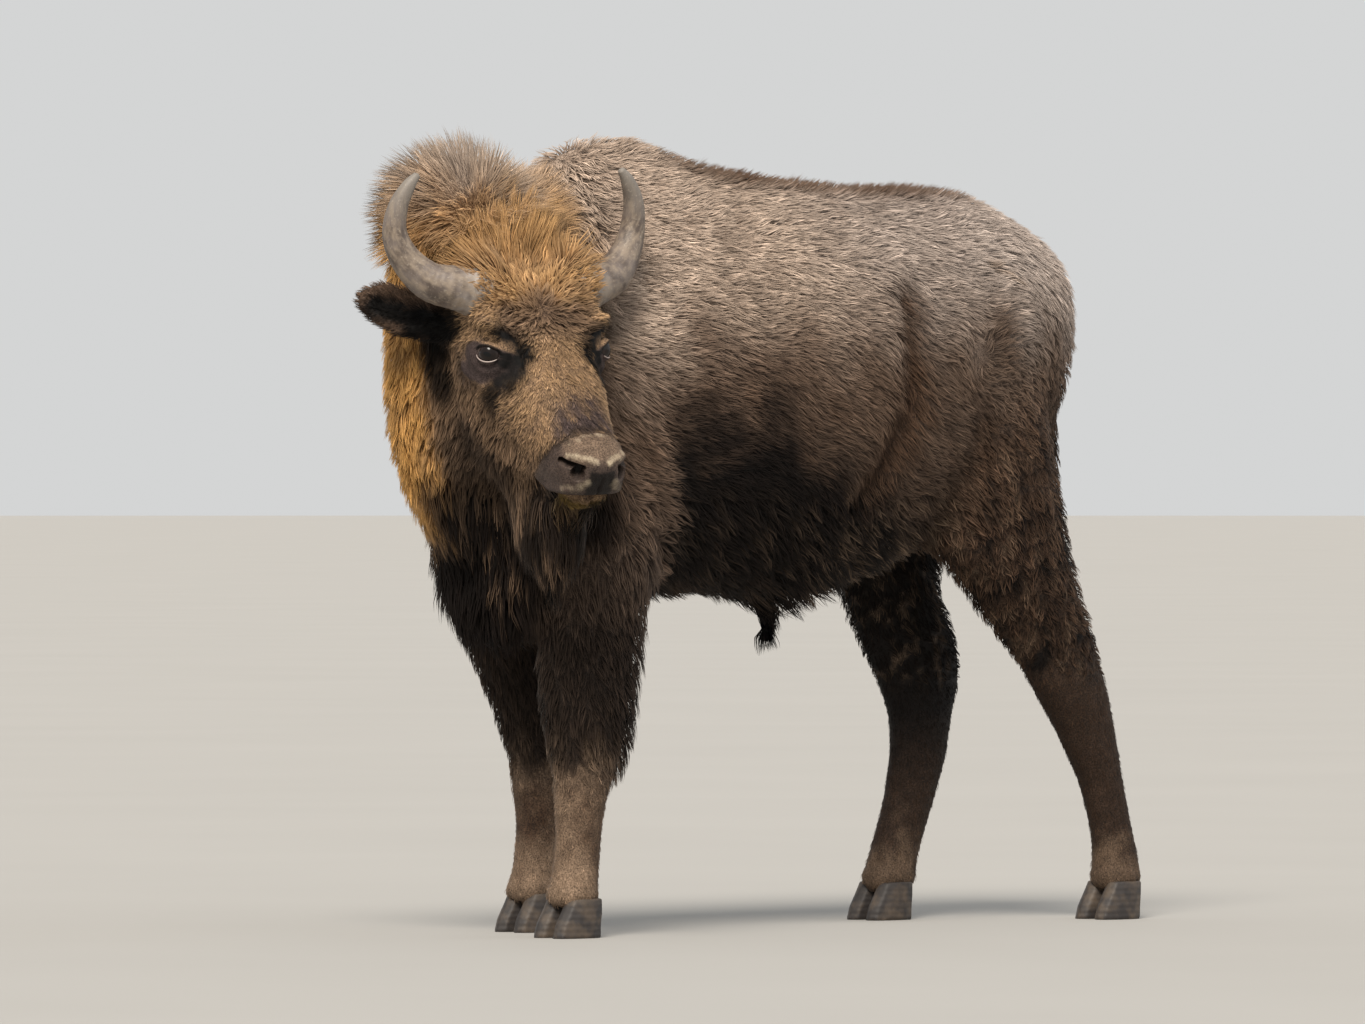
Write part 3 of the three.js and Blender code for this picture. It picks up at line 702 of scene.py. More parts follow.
def face_marks(points, share):
    """A golden crown that browns down the face, a thin-haired bridge, dark jaws, partly dark hair and partly
    painted shade under the jaw, and a yellow chin.
    """
    f, s, n = head_place(points)
    _, small, fine = speckle(points)
    bridge = ease(abs(s) + 0.012 * small, 0.085, 0.045) * ease(n, -0.10, -0.05)
    bridge = bridge * bump(f + 0.01 * small, 0.372, 0.068)
    on_jaw = ease(f, 0.12, 0.20)
    return {
        "orange": share["crown"] + share["forehead"] * blend(1.0, 0.45, ease(f + 0.02 * small, 0.04, 0.14)),
        "face": share["face"] * (0.85 + 0.2 * fine + 0.1 * small) + 0.2 * share["forehead"],
        "cheek": share["cheek"] * (0.9 + 0.15 * small) * (1 - 0.8 * ease(n, -0.150, -0.200) * on_jaw)
                 + share["face"] * ease(n, -0.03, -0.11) * (0.7 + 0.2 * small)
                 + 0.85 * share["forehead"] * ease(f + 0.01 * small, 0.080, 0.125),
        # Under the jaw: dark hair with painted shade.
        "dark": 0.8 * share["cheek"] * ease(n + 0.01 * small, -0.150, -0.200) * on_jaw,
        "bare": bridge * share["face"] * ease(fine + small, -2.6, -0.3)
                + 0.4 * share["face"] * ease(fine + 0.7 * small, 0.5, 1.5)
                + 0.3 * share["forehead"] * ease(f + 0.012 * small, 0.085, 0.125),
        "chin": (share["face"] + share["cheek"]) * ease(f, 0.40, 0.43) * ease(n, -0.10, -0.12),
    }


def eye_marks(points, share):
    """Bare lids, brown above and black at the lashes with painted shadow of the upper lid, painted shade in
    the fold under the brow and in the lids' creases, and a stain of tears.
    """
    f, _, _ = head_place(points)
    _, small, fine = speckle(points)
    chart = eye_chart(points)
    along, up, out = chart.T
    lids = share["bare"] * (1 - ease(f, *MUZZLE_START))
    upper_lid = ease(up, 0.010, 0.018) * ease(up, 0.046, 0.038) * ease(abs(along - 0.002), 0.072, 0.055)
    stain = ease(from_path(chart[:, :2], TEAR_STAIN) + 0.006 * small + 0.005 * fine, 0.029, 0.008) * (f > 0.1)
    brow_half = blend(0.013, 0.026, ease(along, -0.04, 0.05))
    # The fold under the brow is painted black as the shade in it.
    brow = ease(from_path(chart[:, :2], BROW_FOLD) + 0.002 * fine, brow_half, 0.005)
    brow = brow * blend(0.35, 1.0, ease(along, -0.05, 0.015))
    gap = lid_gap(chart)
    by_eye = ease(np.linalg.norm(chart, axis=1), 2.0 * EYE_RADIUS, 1.5 * EYE_RADIUS) * ease(out, 0.0, 0.006)
    # A black band along the upper lid's edge: partly its lashes, partly painted shadow of the lid.
    lashes = ease(gap, 0.20, 0.07) * ease(up, -0.002, 0.004) * by_eye * (gap > 0)
    # The lids' creases are painted dark as the shade in them.
    crease_shade = bump(gap, 0.46, 0.07) * ease(up, -0.006, 0.004)
    crease_shade = crease_shade + 0.6 * bump(gap, 0.30, 0.06) * ease(up, 0.0, -0.006)
    return {
        "face": 0.6 * lids * upper_lid,
        "bare": lids * (1 - 0.9 * upper_lid),
        "pitch": 0.92 * stain * (share["face"] + lids)
                 + brow * (lids + share["face"] + 0.5 * share["forehead"])
                 + 0.9 * lashes + 0.45 * crease_shade * by_eye * lids,
    }


def ear_marks(points, normals, share):
    """Ears that are brown outside and black in the hollow, partly dark hair and partly painted shade, with
    black hair and painted shadow behind and below.
    """
    _, small, _ = speckle(points)
    # The hollow of the ear is black: partly dark hair, partly painted shade.
    hollow = ease(normals @ unit(AHEAD - 0.3 * OVER), -0.1, 0.3)
    hollow = hollow * ease(ear_distance(points) + 0.004 * small, 0.038, 0.022)
    # Black behind and below the ear: partly black hair, partly painted shadow between the ear and the neck.
    below = ease(from_path(mirrored_place(points), EAR_SHADE) + 0.006 * small, 0.052, 0.026)
    return {"umber": 0.7 * share["ear"], "pitch": share["ear"] * hollow + 0.92 * below}


def muzzle_marks(points, share, pits):
    """A bare dark nose with a black front, nostrils painted black as the shade in them, a painted shadow
    round the nose, dusty on top, and pale dried mud on rims and edge.
    """
    f, s, n = head_place(points)
    _, _, fine = speckle(points)
    place = mirrored_place(points)
    nose = share["bare"] * ease(f, *MUZZLE_START)
    ragged = 0.0022 * waver(points, 0.010, 33) + 0.0015 * waver(points, 0.004, 35)
    rim = 0.8 * ease(from_path(place, NOSTRIL_RIM) + ragged, 0.0100, 0.0010)
    under = 0.95 * ease(from_path(place, UNDER_NOSTRIL) + 0.4 * ragged, 0.013, 0.003)
    edge = 0.45 * ease(from_path(place, NOSE_EDGE) + 1.6 * ragged, 0.0045, 0.0015)
    dried = np.clip(rim + under + edge, 0, 1)
    front = ease(abs(s), 0.034, 0.024) * ease(n, -0.024, -0.032) * ease(f, 0.43, 0.45)
    shade = ease(from_path(place, NOSE_SHADE) + 2 * ragged, 0.018, 0.004) * (f < 0.44)
    dusty = ease(n, -0.045, -0.018) * ease(f, 0.49, 0.46)
    return {
        "leather": nose * (1 - 0.75 * dusty),
        "mud": 0.8 * nose * dusty,
        # Painted shade: black in the nostrils' pits, and the shadow round the nose.
        "pitch": 0.85 * front * nose + 0.6 * shade * (1 - dried) + 0.9 * pits,
        "cream": nose * dried * (1 - pits) * (0.75 + 0.22 * fine),
    }


def markings(points, normals, near, kinds, pits):
    """How much of each marking there is at each point; pits tells how far it is in a nostril."""
    share = dict(zip(KINDS, kinds.T))
    found = {name: np.zeros(len(points)) for name in MARKINGS}
    for part in (trunk_marks(points, normals, near, share), leg_marks(points, near, share),
                 throat_marks(points, share), face_marks(points, share), eye_marks(points, share),
                 ear_marks(points, normals, share), muzzle_marks(points, share, pits)):
        for name, amount in part.items():
            found[name] += amount
    return np.stack([np.clip(found[name], 0, 1) for name in MARKINGS], 1)


# ---------------------------------------------------------------- materials

def linear(colour):
    """An sRGB hex colour as the linear numbers that the shader works in."""
    parts = [int(colour[k:k + 2], 16) / 255 for k in (1, 3, 5)]
    return tuple(c / 12.92 if c <= 0.04045 else ((c + 0.055) / 1.055) ** 2.4 for c in parts) + (1.0,)


def feed(node, inputs):
    """Sets each of these inputs of a node to its number or colour, or links it to another node's output."""
    for name, value in inputs.items():
        if isinstance(value, bpy.types.NodeSocket):
            node.id_data.links.new(value, node.inputs[name])
        else:
            node.inputs[name].default_value = value


def add(tree, kind, inputs, output=0, **settings):
    """Adds one node of a material, with its settings and inputs, and gives one of its outputs."""
    node = tree.nodes.new("ShaderNode" + kind)
    for name, value in settings.items():
        setattr(node, name, value)
    feed(node, inputs)
    return node.outputs[output]


# Where a mix of colours takes the upper one's share, the lower one and the upper one, and where it comes out.
SHARE, LOWER, UPPER, MIX = 0, 6, 7, 2


def shaded(tree, colour, amount):
    """The colour made darker or lighter all through by that amount."""
    grey = add(tree, "CombineXYZ", {0: amount, 1: amount, 2: amount})
    return add(tree, "Mix", {SHARE: 1.0, LOWER: colour, UPPER: grey}, MIX, data_type="RGBA",
               blend_type="MULTIPLY")


def new_material(name):
    """A material with its node tree and its one shader."""
    material = bpy.data.materials.new(name)
    material.use_nodes = True
    return material, material.node_tree, material.node_tree.nodes["Principled BSDF"]


def kept_numbers(tree, name):
    """The three numbers kept by that name at each point of the mesh."""
    kept = add(tree, "Attribute", {}, "Vector", attribute_name=name)
    return add(tree, "SeparateXYZ", {0: kept}).node.outputs


def marked_colours(tree):
    """The colours at the root and at the tip that the markings kept in the mesh give."""
    colours = [linear(EARTH[0]), linear(EARTH[1])]
    names = list(MARKINGS)
    for start in range(0, len(names), 3):
        for share, name in zip(kept_numbers(tree, f"markings_{start // 3}"), names[start:start + 3]):
            for end, colour in enumerate(MARKINGS[name]):
                sockets = {SHARE: share, LOWER: colours[end], UPPER: linear(colour)}
                colours[end] = add(tree, "Mix", sockets, MIX, data_type="RGBA")
    return colours


def coat_material(name):
    """A wild ox's winter hair: coarse and dull, matted in locks, dark at the root and bleached at the tip."""
    material, tree, shader = new_material(name)
    root, tip = marked_colours(tree)
    along, strand, clump = kept_numbers(tree, "lock")
    # One strand in six has ends that the sun has bleached.
    bleached = add(tree, "MapRange", {"Value": strand, "From Min": 0.72, "From Max": 0.95, "To Min": 1.0,
                                      "To Max": 1.7})
    tip = shaded(tree, tip, bleached)
    way = add(tree, "MapRange", {"Value": along, "From Min": 0.05, "From Max": 0.8})
    colour = add(tree, "Mix", {SHARE: way, LOWER: root, UPPER: tip}, MIX, data_type="RGBA")
    colour = shaded(tree, colour, add(tree, "MapRange", {"Value": strand, "To Min": 0.68, "To Max": 1.25}))
    colour = shaded(tree, colour, add(tree, "MapRange", {"Value": clump, "To Min": 0.76, "To Max": 1.24}))
    feed(shader, {"Base Color": colour, "Roughness": 0.68, "Specular IOR Level": 0.08, "Sheen Weight": 0.04,
                  "Sheen Roughness": 0.5})
    return material


def skin_material():
    """Hide under the hair: dark, with a short nap, and bare and leathery at the muzzle and round the eyes."""
    material, tree, shader = new_material("hide_with_short_nap")
    root, tip = marked_colours(tree)
    place = add(tree, "TexCoord", {}, "Object")
    # Hairs of the nap 3 mm apart, coarser than real so that they show, leather's cells 2 mm across, and
    # cloudy soil 25 mm across.
    nap = add(tree, "TexNoise", {"Vector": place, "Scale": 1 / (3 * MM), "Detail": 3.0})
    cells = add(tree, "TexVoronoi", {"Vector": place, "Scale": 1 / (2 * MM)}, feature="DISTANCE_TO_EDGE")
    cloud = add(tree, "TexNoise", {"Vector": place, "Scale": 1 / (25 * MM), "Detail": 4.0})
    share = add(tree, "MapRange", {"Value": nap, "From Min": 0.32, "From Max": 0.68})
    colour = add(tree, "Mix", {SHARE: share, LOWER: root, UPPER: tip}, MIX, data_type="RGBA")
    light = add(tree, "MapRange", {"Value": cloud, "From Min": 0.3, "From Max": 0.7, "To Min": 0.75,
                                   "To Max": 1.2})
    edge = add(tree, "MapRange", {"Value": cells, "From Max": 0.15, "To Max": 0.6})
    height = add(tree, "Math", {0: nap, 1: edge}, operation="ADD")
    # The bare nose is moist, and the rest dull.
    at = list(MARKINGS).index("leather")
    moist = kept_numbers(tree, f"markings_{at // 3}")[at % 3]
    feed(shader, {"Base Color": shaded(tree, colour, light),
                  "Roughness": add(tree, "MapRange", {"Value": moist, "To Min": 0.65, "To Max": 0.40}),
                  "Specular IOR Level": 0.16,
                  "Normal": add(tree, "Bump", {"Height": height, "Distance": 0.8 * MM, "Strength": 0.6})})
    return material


# ---------------------------------------------------------------- locks of hair

PATCH = 0.003            # the side of each lock's patch on the unwrap of the skin
SOFTNESS = 0.7           # how far a lock takes the light as the body under it does
ROOT_SUNK = 2 * MM       # how deep in the skin each lock starts


def store(mesh, name, values):
    """Three numbers kept at each point of a mesh, for its material."""
    kept = mesh.attributes.new(name, "FLOAT_VECTOR", "POINT")
    kept.data.foreach_set("vector", np.ascontiguousarray(values, np.float32).ravel())


def store_markings(mesh, values):
    """The markings at each point of a mesh, kept three by three."""
    for start in range(0, values.shape[1], 3):
        store(mesh, f"markings_{start // 3}", values[:, start:start + 3])


def scatter(skin, per_area, seed):
    """Places on the skin: a triangle number and the share of its three corners for each, spread evenly."""
    draw = np.random.default_rng(seed)
    a, b, c = (skin.points[skin.triangles[:, k]] for k in range(3))
    area = np.linalg.norm(np.cross(b - a, c - a), axis=1) / 2
    amount = np.diff(np.floor(np.cumsum(area * per_area) + draw.random()), prepend=0).astype(int)
    chosen = np.repeat(np.arange(len(amount)), np.maximum(amount, 0))
    corner = draw.random((len(chosen), 2))
    flip = corner.sum(1) > 1
    corner[flip] = 1 - corner[flip]
    return chosen, np.stack([1 - corner.sum(1), corner[:, 0], corner[:, 1]], 1)


def paths(roots, normals, lie, length, lean_root, lean_tip, wave, sag, steps, draw):
    """The middle line of each lock: steps + 1 points from the skin to the tip."""
    line = [roots]
    side = unit(np.cross(normals, lie))
    phase = draw.uniform(0, 2 * math.pi, len(roots))
    turns = draw.uniform(0.6, 1.3, len(roots))
    for k in range(steps):
        share = (k + 0.5) / steps
        lean = np.radians(blend(lean_root, lean_tip, share))
        way = lie * np.cos(lean)[:, None] + normals * np.sin(lean)[:, None]
        way = way + side * (wave * np.sin(phase + share * turns * 2 * math.pi))[:, None]
        way = way + normals * (0.5 * wave * np.cos(phase + share * turns * 2 * math.pi))[:, None]
        way[:, 2] -= sag * share
        line.append(line[-1] + unit(way) * (length / steps)[:, None])
    return np.stack(line, 1)


def gathered(line, roots, every, pull, draw):
    """Pulls each lock's tip towards that of the nearest leading lock, so that the hair stands in clumps."""
    leaders = draw.permutation(len(roots))[:max(len(roots) // every, 1)]
    tree = KDTree(len(leaders))
    for number, spot in enumerate(roots[leaders].tolist()):
        tree.insert(spot, number)
    tree.balance()
    lead = leaders[np.array([tree.find(spot)[1] for spot in roots.tolist()])]
    share = pull * np.linspace(0, 1, line.shape[1])[None, :, None] ** 1.4
    return line + (line[lead] - line) * share, lead


def lock_mesh(name, line, normals, width, flat, marked, flat_place, tones):
    """Solid locks, three-sided and pointed at both ends, in one mesh; marked holds each lock's markings."""
    amount, rings = line.shape[0], line.shape[1] - 2
    along = np.linspace(0, 1, rings + 2)
    # Full width for the first quarter, then thinner towards the tip.
    profile = np.minimum(1.15 * (1 - along[1:-1] ** 1.6), 1)
    corners = rings * 3 + 2
    points = np.empty((amount, corners, 3))
    points[:, 0] = line[:, 0]
    points[:, -1] = line[:, -1]
    for k in range(rings):
        way = unit(line[:, k + 2] - line[:, k])
        side = unit(np.cross(way, normals))
        up = np.cross(side, way)
        half = (width * profile[k] / 2)[:, None]
        points[:, 3 * k + 1] = line[:, k + 1] + side * half
        points[:, 3 * k + 2] = line[:, k + 1] + up * half * flat
        points[:, 3 * k + 3] = line[:, k + 1] - side * half
    shade = np.repeat(normals[:, None], corners, axis=1)
    for k in range(rings):
        middle_line = line[:, k + 1][:, None]
        ring = slice(3 * k + 1, 3 * k + 4)
        shade[:, ring] = blend(unit(points[:, ring] - middle_line), shade[:, ring], SOFTNESS)
    faces = []
    for a in range(3):
        b = (a + 1) % 3
        faces.append((0, a + 1, b + 1))
        for k in range(rings - 1):
            low, high = 3 * k + 1, 3 * k + 4
            faces += [(low + b, low + a, high + b), (high + b, low + a, high + a)]
        last = 3 * rings - 2
        faces.append((last + b, last + a, corners - 1))
    faces = (np.array(faces)[None] + np.arange(amount)[:, None, None] * corners).reshape(-1, 3)
    piece = make_piece(name, points.reshape(-1, 3), faces)
    piece.data.normals_split_custom_set_from_vertices(unit(shade).reshape(-1, 3).tolist())
    each = np.concatenate([[0.0], np.repeat(along[1:-1], 3), [1.0]])
    lock = np.empty((amount, corners, 3))
    lock[:, :, 0] = each
    lock[:, :, 1:] = tones[:, None, :]
    store(piece.data, "lock", lock.reshape(-1, 3))
    store_markings(piece.data, np.repeat(marked, corners, axis=0))
    across = np.concatenate([[0.5], np.tile((0.0, 0.5, 1.0), rings), [0.5]])
    patch = flat_place[:, None, :] + PATCH * (np.stack([across, each], 1)[None] - 0.5)
    layer = piece.data.uv_layers.new(name="OFBake")
    layer.data.foreach_set("uv", patch.reshape(-1, 2)[faces.ravel()].astype(np.float32).ravel())
    return piece


# ---------------------------------------------------------------- folds of the face and body

# The opening between the lids, in eye radii: half its length, and how far it rises and drops at its middle.
EYE_SLIT = 0.91
LID_RISE = 0.44
LID_DROP = 0.62
SLIT_TURN = math.radians(9)      # its front end is this far up
LID_OUT = 1.12                   # how far out the lids' edges lie, in eye radii
SLIT_DEEP = 0.80                 # the skin in the opening lies this far out, behind the eyeball's front
LID_EDGE = 1.3 * MM              # half the thickness of the lower lid's wet rim
LID_EDGE_OUT = 1.10              # how far out it lies, in eye radii
LID_EDGE_ENDS = (-0.92, 0.84)    # the part of the slit that it runs along


def lid_gap(chart):
    """How far outside the opening between the lids a place is, in eye radii; below 0 in the opening."""
    along, up, _ = unit(chart).T
    x = along * math.cos(SLIT_TURN) + up * math.sin(SLIT_TURN)
    y = up * math.cos(SLIT_TURN) - along * math.sin(SLIT_TURN)
    margin = np.sqrt(np.clip(1 - (x / EYE_SLIT) ** 2, 0, 1))
    gap = np.maximum(y - LID_RISE * margin, -LID_DROP * margin - y)
    return np.maximum(gap, abs(x) - EYE_SLIT)


def sink(skin, depth):
    """Moves the skin in by the coat's depth, a little at a time, and smooths it where the coat is deep."""
    for _ in range(SINK_STEPS):
        skin.points = skin.points - skin.normals() * (depth / SINK_STEPS)[:, None]
        skin.points = skin.spread(skin.points, 2, 0.5, ease(depth, 0.002, 0.006))


def shape_eyes(skin):
    """The smooth mound of each eye under its brow, with an upper and a lower lid and their creases."""
    side = ((skin.points - HEAD) @ LEFT > 0).astype(int)
    centre = np.stack([eye_axes(one)[0] for one in (-1, 1)])[side]
    outward = np.stack([eye_axes(one)[1] for one in (-1, 1)])[side]
    along, up, out = eye_chart(skin.points).T
    wide = np.hypot(along, up)
    dome = 0.024 - wide ** 2 / 0.10 + 0.020 * bump(up, 0.052, 0.020) * bump(along, 0.0, 0.06)
    dome = dome - 0.007 * ease(from_path(np.stack([along, up], 1), BROW_FOLD), 0.014, 0.0)
    share = ease(wide, 0.068, 0.036) * ease(out, -0.05, -0.03)
    skin.points = skin.points + outward * ((dome - out) * share)[:, None]
    chart = eye_chart(skin.points)
    reach = np.linalg.norm(chart, axis=1)
    gap, above, out = lid_gap(chart), chart[:, 1] > 0, chart[:, 2] / reach
    rise = SLIT_DEEP + (LID_OUT - SLIT_DEEP) * ease(gap, -0.04, 0.05)
    upper = 0.08 * bump(gap, 0.14, 0.12) - 0.16 * bump(gap, 0.45, 0.06) + 0.08 * bump(gap, 0.62, 0.1)
    lower = 0.03 * bump(gap, 0.05, 0.05) - 0.10 * bump(gap, 0.30, 0.05)
    rise = rise + np.where(above, upper, lower)
    share = ease(gap, 0.80, 0.42) * ease(out, 0.20, 0.45) * (reach < 2.4 * EYE_RADIUS)
    wanted = centre + (skin.points - centre) / reach[:, None] * (rise * EYE_RADIUS)[:, None]
    skin.points = blend(skin.points, wanted, share[:, None])


def shape_muzzle(skin, pits):
    """Nostrils with thick rims, the groove under the nose, the mouth between its lips, and wrinkles above."""
    f, s, n = head_place(skin.points)
    nose = ease(f, 0.415, 0.44)
    inward = -unit(NOSE * 0.80 + LEFT * np.sign(s)[:, None] * 0.45 + BROW * 0.25)
    rim = bump(from_path(mirrored_place(skin.points), NOSTRIL_RIM), 0.0, 0.009) * nose
    cheek = bump(from_path(mirrored_place(skin.points), UNDER_NOSTRIL), 0.0, 0.011) * nose
    skin.points = skin.points + inward * (0.024 * pits - 0.0055 * rim - 0.0035 * cheek)[:, None]
    groove = bump(s, 0.0, 0.0035) * ease(n, -0.030, -0.045) * nose
    skin.points = skin.points - NOSE * (0.003 * groove)[:, None]
    f, _, n = head_place(skin.points)
    line = n - mouth_height(f)
    front = ease(f, 0.41, 0.44)
    outward = skin.normals()
    lips = 0.0035 * bump(line, 0.015, 0.009) + 0.003 * bump(line, -0.016, 0.01)
    mouth = lips - 0.0080 * bump(line, 0.0, 0.0045)
    wrinkle = np.sin(f * 2 * math.pi / 0.010 + 1.4 * waver(skin.points, 0.05, 41))
    upon = bump(f, 0.418, 0.016) * ease(n, -0.06, -0.03) + 0.5 * bump(f, 0.425, 0.02) * ease(n, -0.13, -0.09)
    skin.points = skin.points + outward * (mouth * front + 0.0009 * wrinkle * upon)[:, None]


def shape_body(skin, near):
    """The fold before the thigh, the forequarter's rear edge, and the skin's hold on the claws' tops."""
    x, y, z = skin.points.T
    trunk = trunk_share(near)
    aside = np.stack([np.zeros(len(x)), np.sign(y - MIDLINE), np.zeros(len(x))], 1)
    fold = 0.015 * ease(from_path(skin.points[:, [0, 2]], FLANK_FOLD), 0.045, 0.0)
    step = 0.012 * bump(behind_forequarter(x, z), -0.030, 0.035) * ease(z, 1.10, 1.02) * ease(z, 0.60, 0.68)
    step = step * ease(abs(y - MIDLINE), 0.10, 0.16)
    skin.points = skin.points + aside * ((step - fold) * trunk)[:, None]
    skin.points[:, 2] -= 0.016 * ease(z, CORONET + 0.012, CORONET)


# ---------------------------------------------------------------- eyes, horns and claws

CORONET = max(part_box(node)[1].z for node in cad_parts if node.startswith("hoof"))
HORN_STATIONS = 110      # rings of points along a horn
HORN_SIDES = 40
HORN_RINGS = 24          # growth rings that show on it
EYE_SIDES = (64, 48)     # points round an eyeball, and rings from front to back
RIM_STATIONS = 48        # rings of points along the wet rim of a lid
RIM_SIDES = 10


def tube(name, line, radii, around, cap):
    """A closed tube along a line of points, with a radius for each place round each ring."""
    rings = len(line)
    way = unit(np.gradient(line, axis=0))
    side = unit(np.cross(way, BROW + 0.3 * LEFT))
    up = np.cross(way, side)
    turn = np.arange(around) * 2 * math.pi / around
    circle = (side[:, None] * np.cos(turn)[None, :, None] + up[:, None] * np.sin(turn)[None, :, None])
    points = (line[:, None] + circle * radii[..., None]).reshape(-1, 3)
    points = np.concatenate([points, line[:1], line[-1:] + way[-1:] * cap])
    k, i = np.meshgrid(np.arange(rings - 1), np.arange(around), indexing="ij")
    a, b = k * around + i, k * around + (i + 1) % around
    faces = np.concatenate([np.stack([a, b, b + around], 2).reshape(-1, 3),
                            np.stack([a, b + around, a + around], 2).reshape(-1, 3)])
    i = np.arange(around)
    j = (i + 1) % around
    first, last = rings * around, rings * around + 1
    top = (rings - 1) * around
    faces = np.concatenate([faces, np.stack([np.full(around, first), j, i], 1),
                            np.stack([np.full(around, last), top + i, top + j], 1)])
    return make_piece(name, points, faces)


def through(stations, amount):
    """A smooth run of that many rows through the given rows, evenly along their length."""
    rows = np.array(stations, float)
    ends = np.concatenate([[2 * rows[0] - rows[1]], rows, [2 * rows[-1] - rows[-2]]])
    fine = []
    for k in range(len(rows) - 1):
        p0, p1, p2, p3 = ends[k:k + 4]
        for share in np.arange(24) / 24:
            fine.append(0.5 * (2 * p1 + (p2 - p0) * share + (2 * p0 - 5 * p1 + 4 * p2 - p3) * share ** 2
                               + (3 * p1 - p0 - 3 * p2 + p3) * share ** 3))
    fine = np.array(fine + [rows[-1]])
    far = np.concatenate([[0], np.cumsum(np.linalg.norm(np.diff(fine[:, :3], axis=0), axis=1))])
    even = np.linspace(0, far[-1], amount)
    return np.stack([np.interp(even, far, column) for column in fine.T], 1)


def sided(thing, side):
    """The name of the left or the right one."""
    return ("left_" if side > 0 else "right_") + thing


def make_horn(side):
    """One horn: a smooth sheath, flared and ringed at its root and worn thin at the tip."""
    rows = through([(*point, radius) for point, radius in zip(HORN_POINTS, HORN_RADII)], HORN_STATIONS)
    line = np.array([on_head(f * MM, side * s * MM, n * MM) for f, s, n in rows[:, :3]])
    along = np.linspace(0, 1, HORN_STATIONS)
    turn = np.arange(HORN_SIDES) * 2 * math.pi / HORN_SIDES
    ring = np.sin(along * 2 * math.pi * HORN_RINGS + 0.6 * np.sin(along * 40)) * ease(along, 0.60, 0.10)
    flute = 0.5 * np.sin(turn * 9) + 0.3 * np.sin(turn * 14 + 2)
    lumps = np.sin(turn * 3 + 1) * bump(along, 0.10, 0.07)[:, None]
    root = 3.5 * bump(along, 0.09, 0.035)[:, None]
    worn = ease(along, 0.9, 0.3)[:, None]
    radii = rows[:, 3:] + root + 1.4 * lumps + 0.5 * ring[:, None] + 0.4 * flute * worn
    horn = tube(sided("horn", side), line, radii * MM, HORN_SIDES, HORN_RADII[-1] * 0.5 * MM)
    each = np.append(np.repeat(along, HORN_SIDES), (0, 1))
    around = np.append(np.tile(turn, HORN_STATIONS), (0, 0))
    store(horn.data, "horn", np.stack([each, np.cos(around), np.sin(around)], 1))
    return horn


def make_eye(side):
    """One eyeball with its clear bulge in front."""
    centre, out, along, up = eye_axes(side)
    points, faces = ball(np.zeros(3), 1.0, *EYE_SIDES)
    points = points * (1 + 0.06 * ease(points[:, 2], 0.72, 0.95))[:, None]
    place = points[:, :1] * along + points[:, 1:2] * up + points[:, 2:] * out
    if np.linalg.det(np.stack([along, up, out])) < 0:
        faces = faces[:, ::-1]
    eye = make_piece(sided("eye", side), centre + place * EYE_RADIUS, faces)
    store(eye.data, "eye", points)
    return eye


def make_lid_edge(side):
    """The moist pale rim of the lower lid: a thin roll of flesh that lies against the eyeball."""
    centre, out, along, up = eye_axes(side)
    x = np.linspace(*LID_EDGE_ENDS, RIM_STATIONS) * EYE_SLIT
    margin = np.sqrt(1 - (x / EYE_SLIT) ** 2)
    y = -LID_DROP * margin
    ahead = x * math.cos(SLIT_TURN) - y * math.sin(SLIT_TURN)
    above = y * math.cos(SLIT_TURN) + x * math.sin(SLIT_TURN)
    outward = np.sqrt(1 - ahead ** 2 - above ** 2)
    line = ahead[:, None] * along + above[:, None] * up + outward[:, None] * out
    thick = np.repeat(LID_EDGE * margin[:, None], RIM_SIDES, 1)
    line = centre + line * EYE_RADIUS * LID_EDGE_OUT
    return tube(sided("lid_edge", side), line, thick, RIM_SIDES, LID_EDGE / 2)


def make_claw(node):
    """One claw of a cloven hoof, as the solid but with its edges worn round."""
    points, triangles, _ = node_shell([node])
    cloud, squares = biggest_part(remeshed(points, triangles, CLAW_GRID))
    claw = Skin(cloud, np.concatenate([squares[:, [0, 1, 2]], squares[:, [0, 2, 3]]]))
    claw.even(5)
    claw.points[:, 2] = np.maximum(claw.points[:, 2], 0.0)
    return make_piece(node + "_claw", claw.points, claw.triangles)


def horn_material():
    """Keratin sheath of a horn, grown in layers and rubbed dull: brownish grey, paler at the root and tip."""
    material, tree, shader = new_material("grown_horn")
    grown = add(tree, "Attribute", {}, "Vector", attribute_name="horn")
    along = add(tree, "SeparateXYZ", {0: grown})
    place = add(tree, "TexCoord", {}, "Object")
    # Streaks of the grain, 30 mm long and 8 mm wide on a horn 420 mm long and 40 mm thick.
    grain = add(tree, "VectorMath", {0: grown, 1: (420 / 30, 40 / 8 / 2, 40 / 8 / 2)}, operation="MULTIPLY")
    streak = add(tree, "TexNoise", {"Vector": grain, "Scale": 1.0, "Detail": 5.0, "Roughness": 0.6})
    # Stains 40 mm across, and chips of 5 mm.
    cloud = add(tree, "TexNoise", {"Vector": place, "Scale": 1 / (40 * MM), "Detail": 4.0})
    speck = add(tree, "TexNoise", {"Vector": place, "Scale": 1 / (5 * MM), "Detail": 3.0})
    colour = linear("#a8a19c")
    layers = [(along, 0.08, 0.20, 1.0, "#6f645d"), (cloud, 0.42, 0.63, 0.8, "#483c34"),
              (streak, 0.42, 0.63, 0.75, "#8f806f"), (along, 0.70, 0.97, 1.0, "#7d766e"),
              (speck, 0.60, 0.70, 0.3, "#b3a899")]
    for value, start, end, most, paint in layers:
        share = add(tree, "MapRange", {"Value": value, "From Min": start, "From Max": end, "To Max": most})
        colour = add(tree, "Mix", {SHARE: share, LOWER: colour, UPPER: linear(paint)}, MIX, data_type="RGBA")
    height = add(tree, "Math", {0: streak, 1: speck}, operation="ADD")
    rise = add(tree, "Bump", {"Height": height, "Distance": 0.8 * MM, "Strength": 0.5})
    feed(shader, {"Base Color": colour, "Roughness": 0.55, "Normal": rise})
    return material


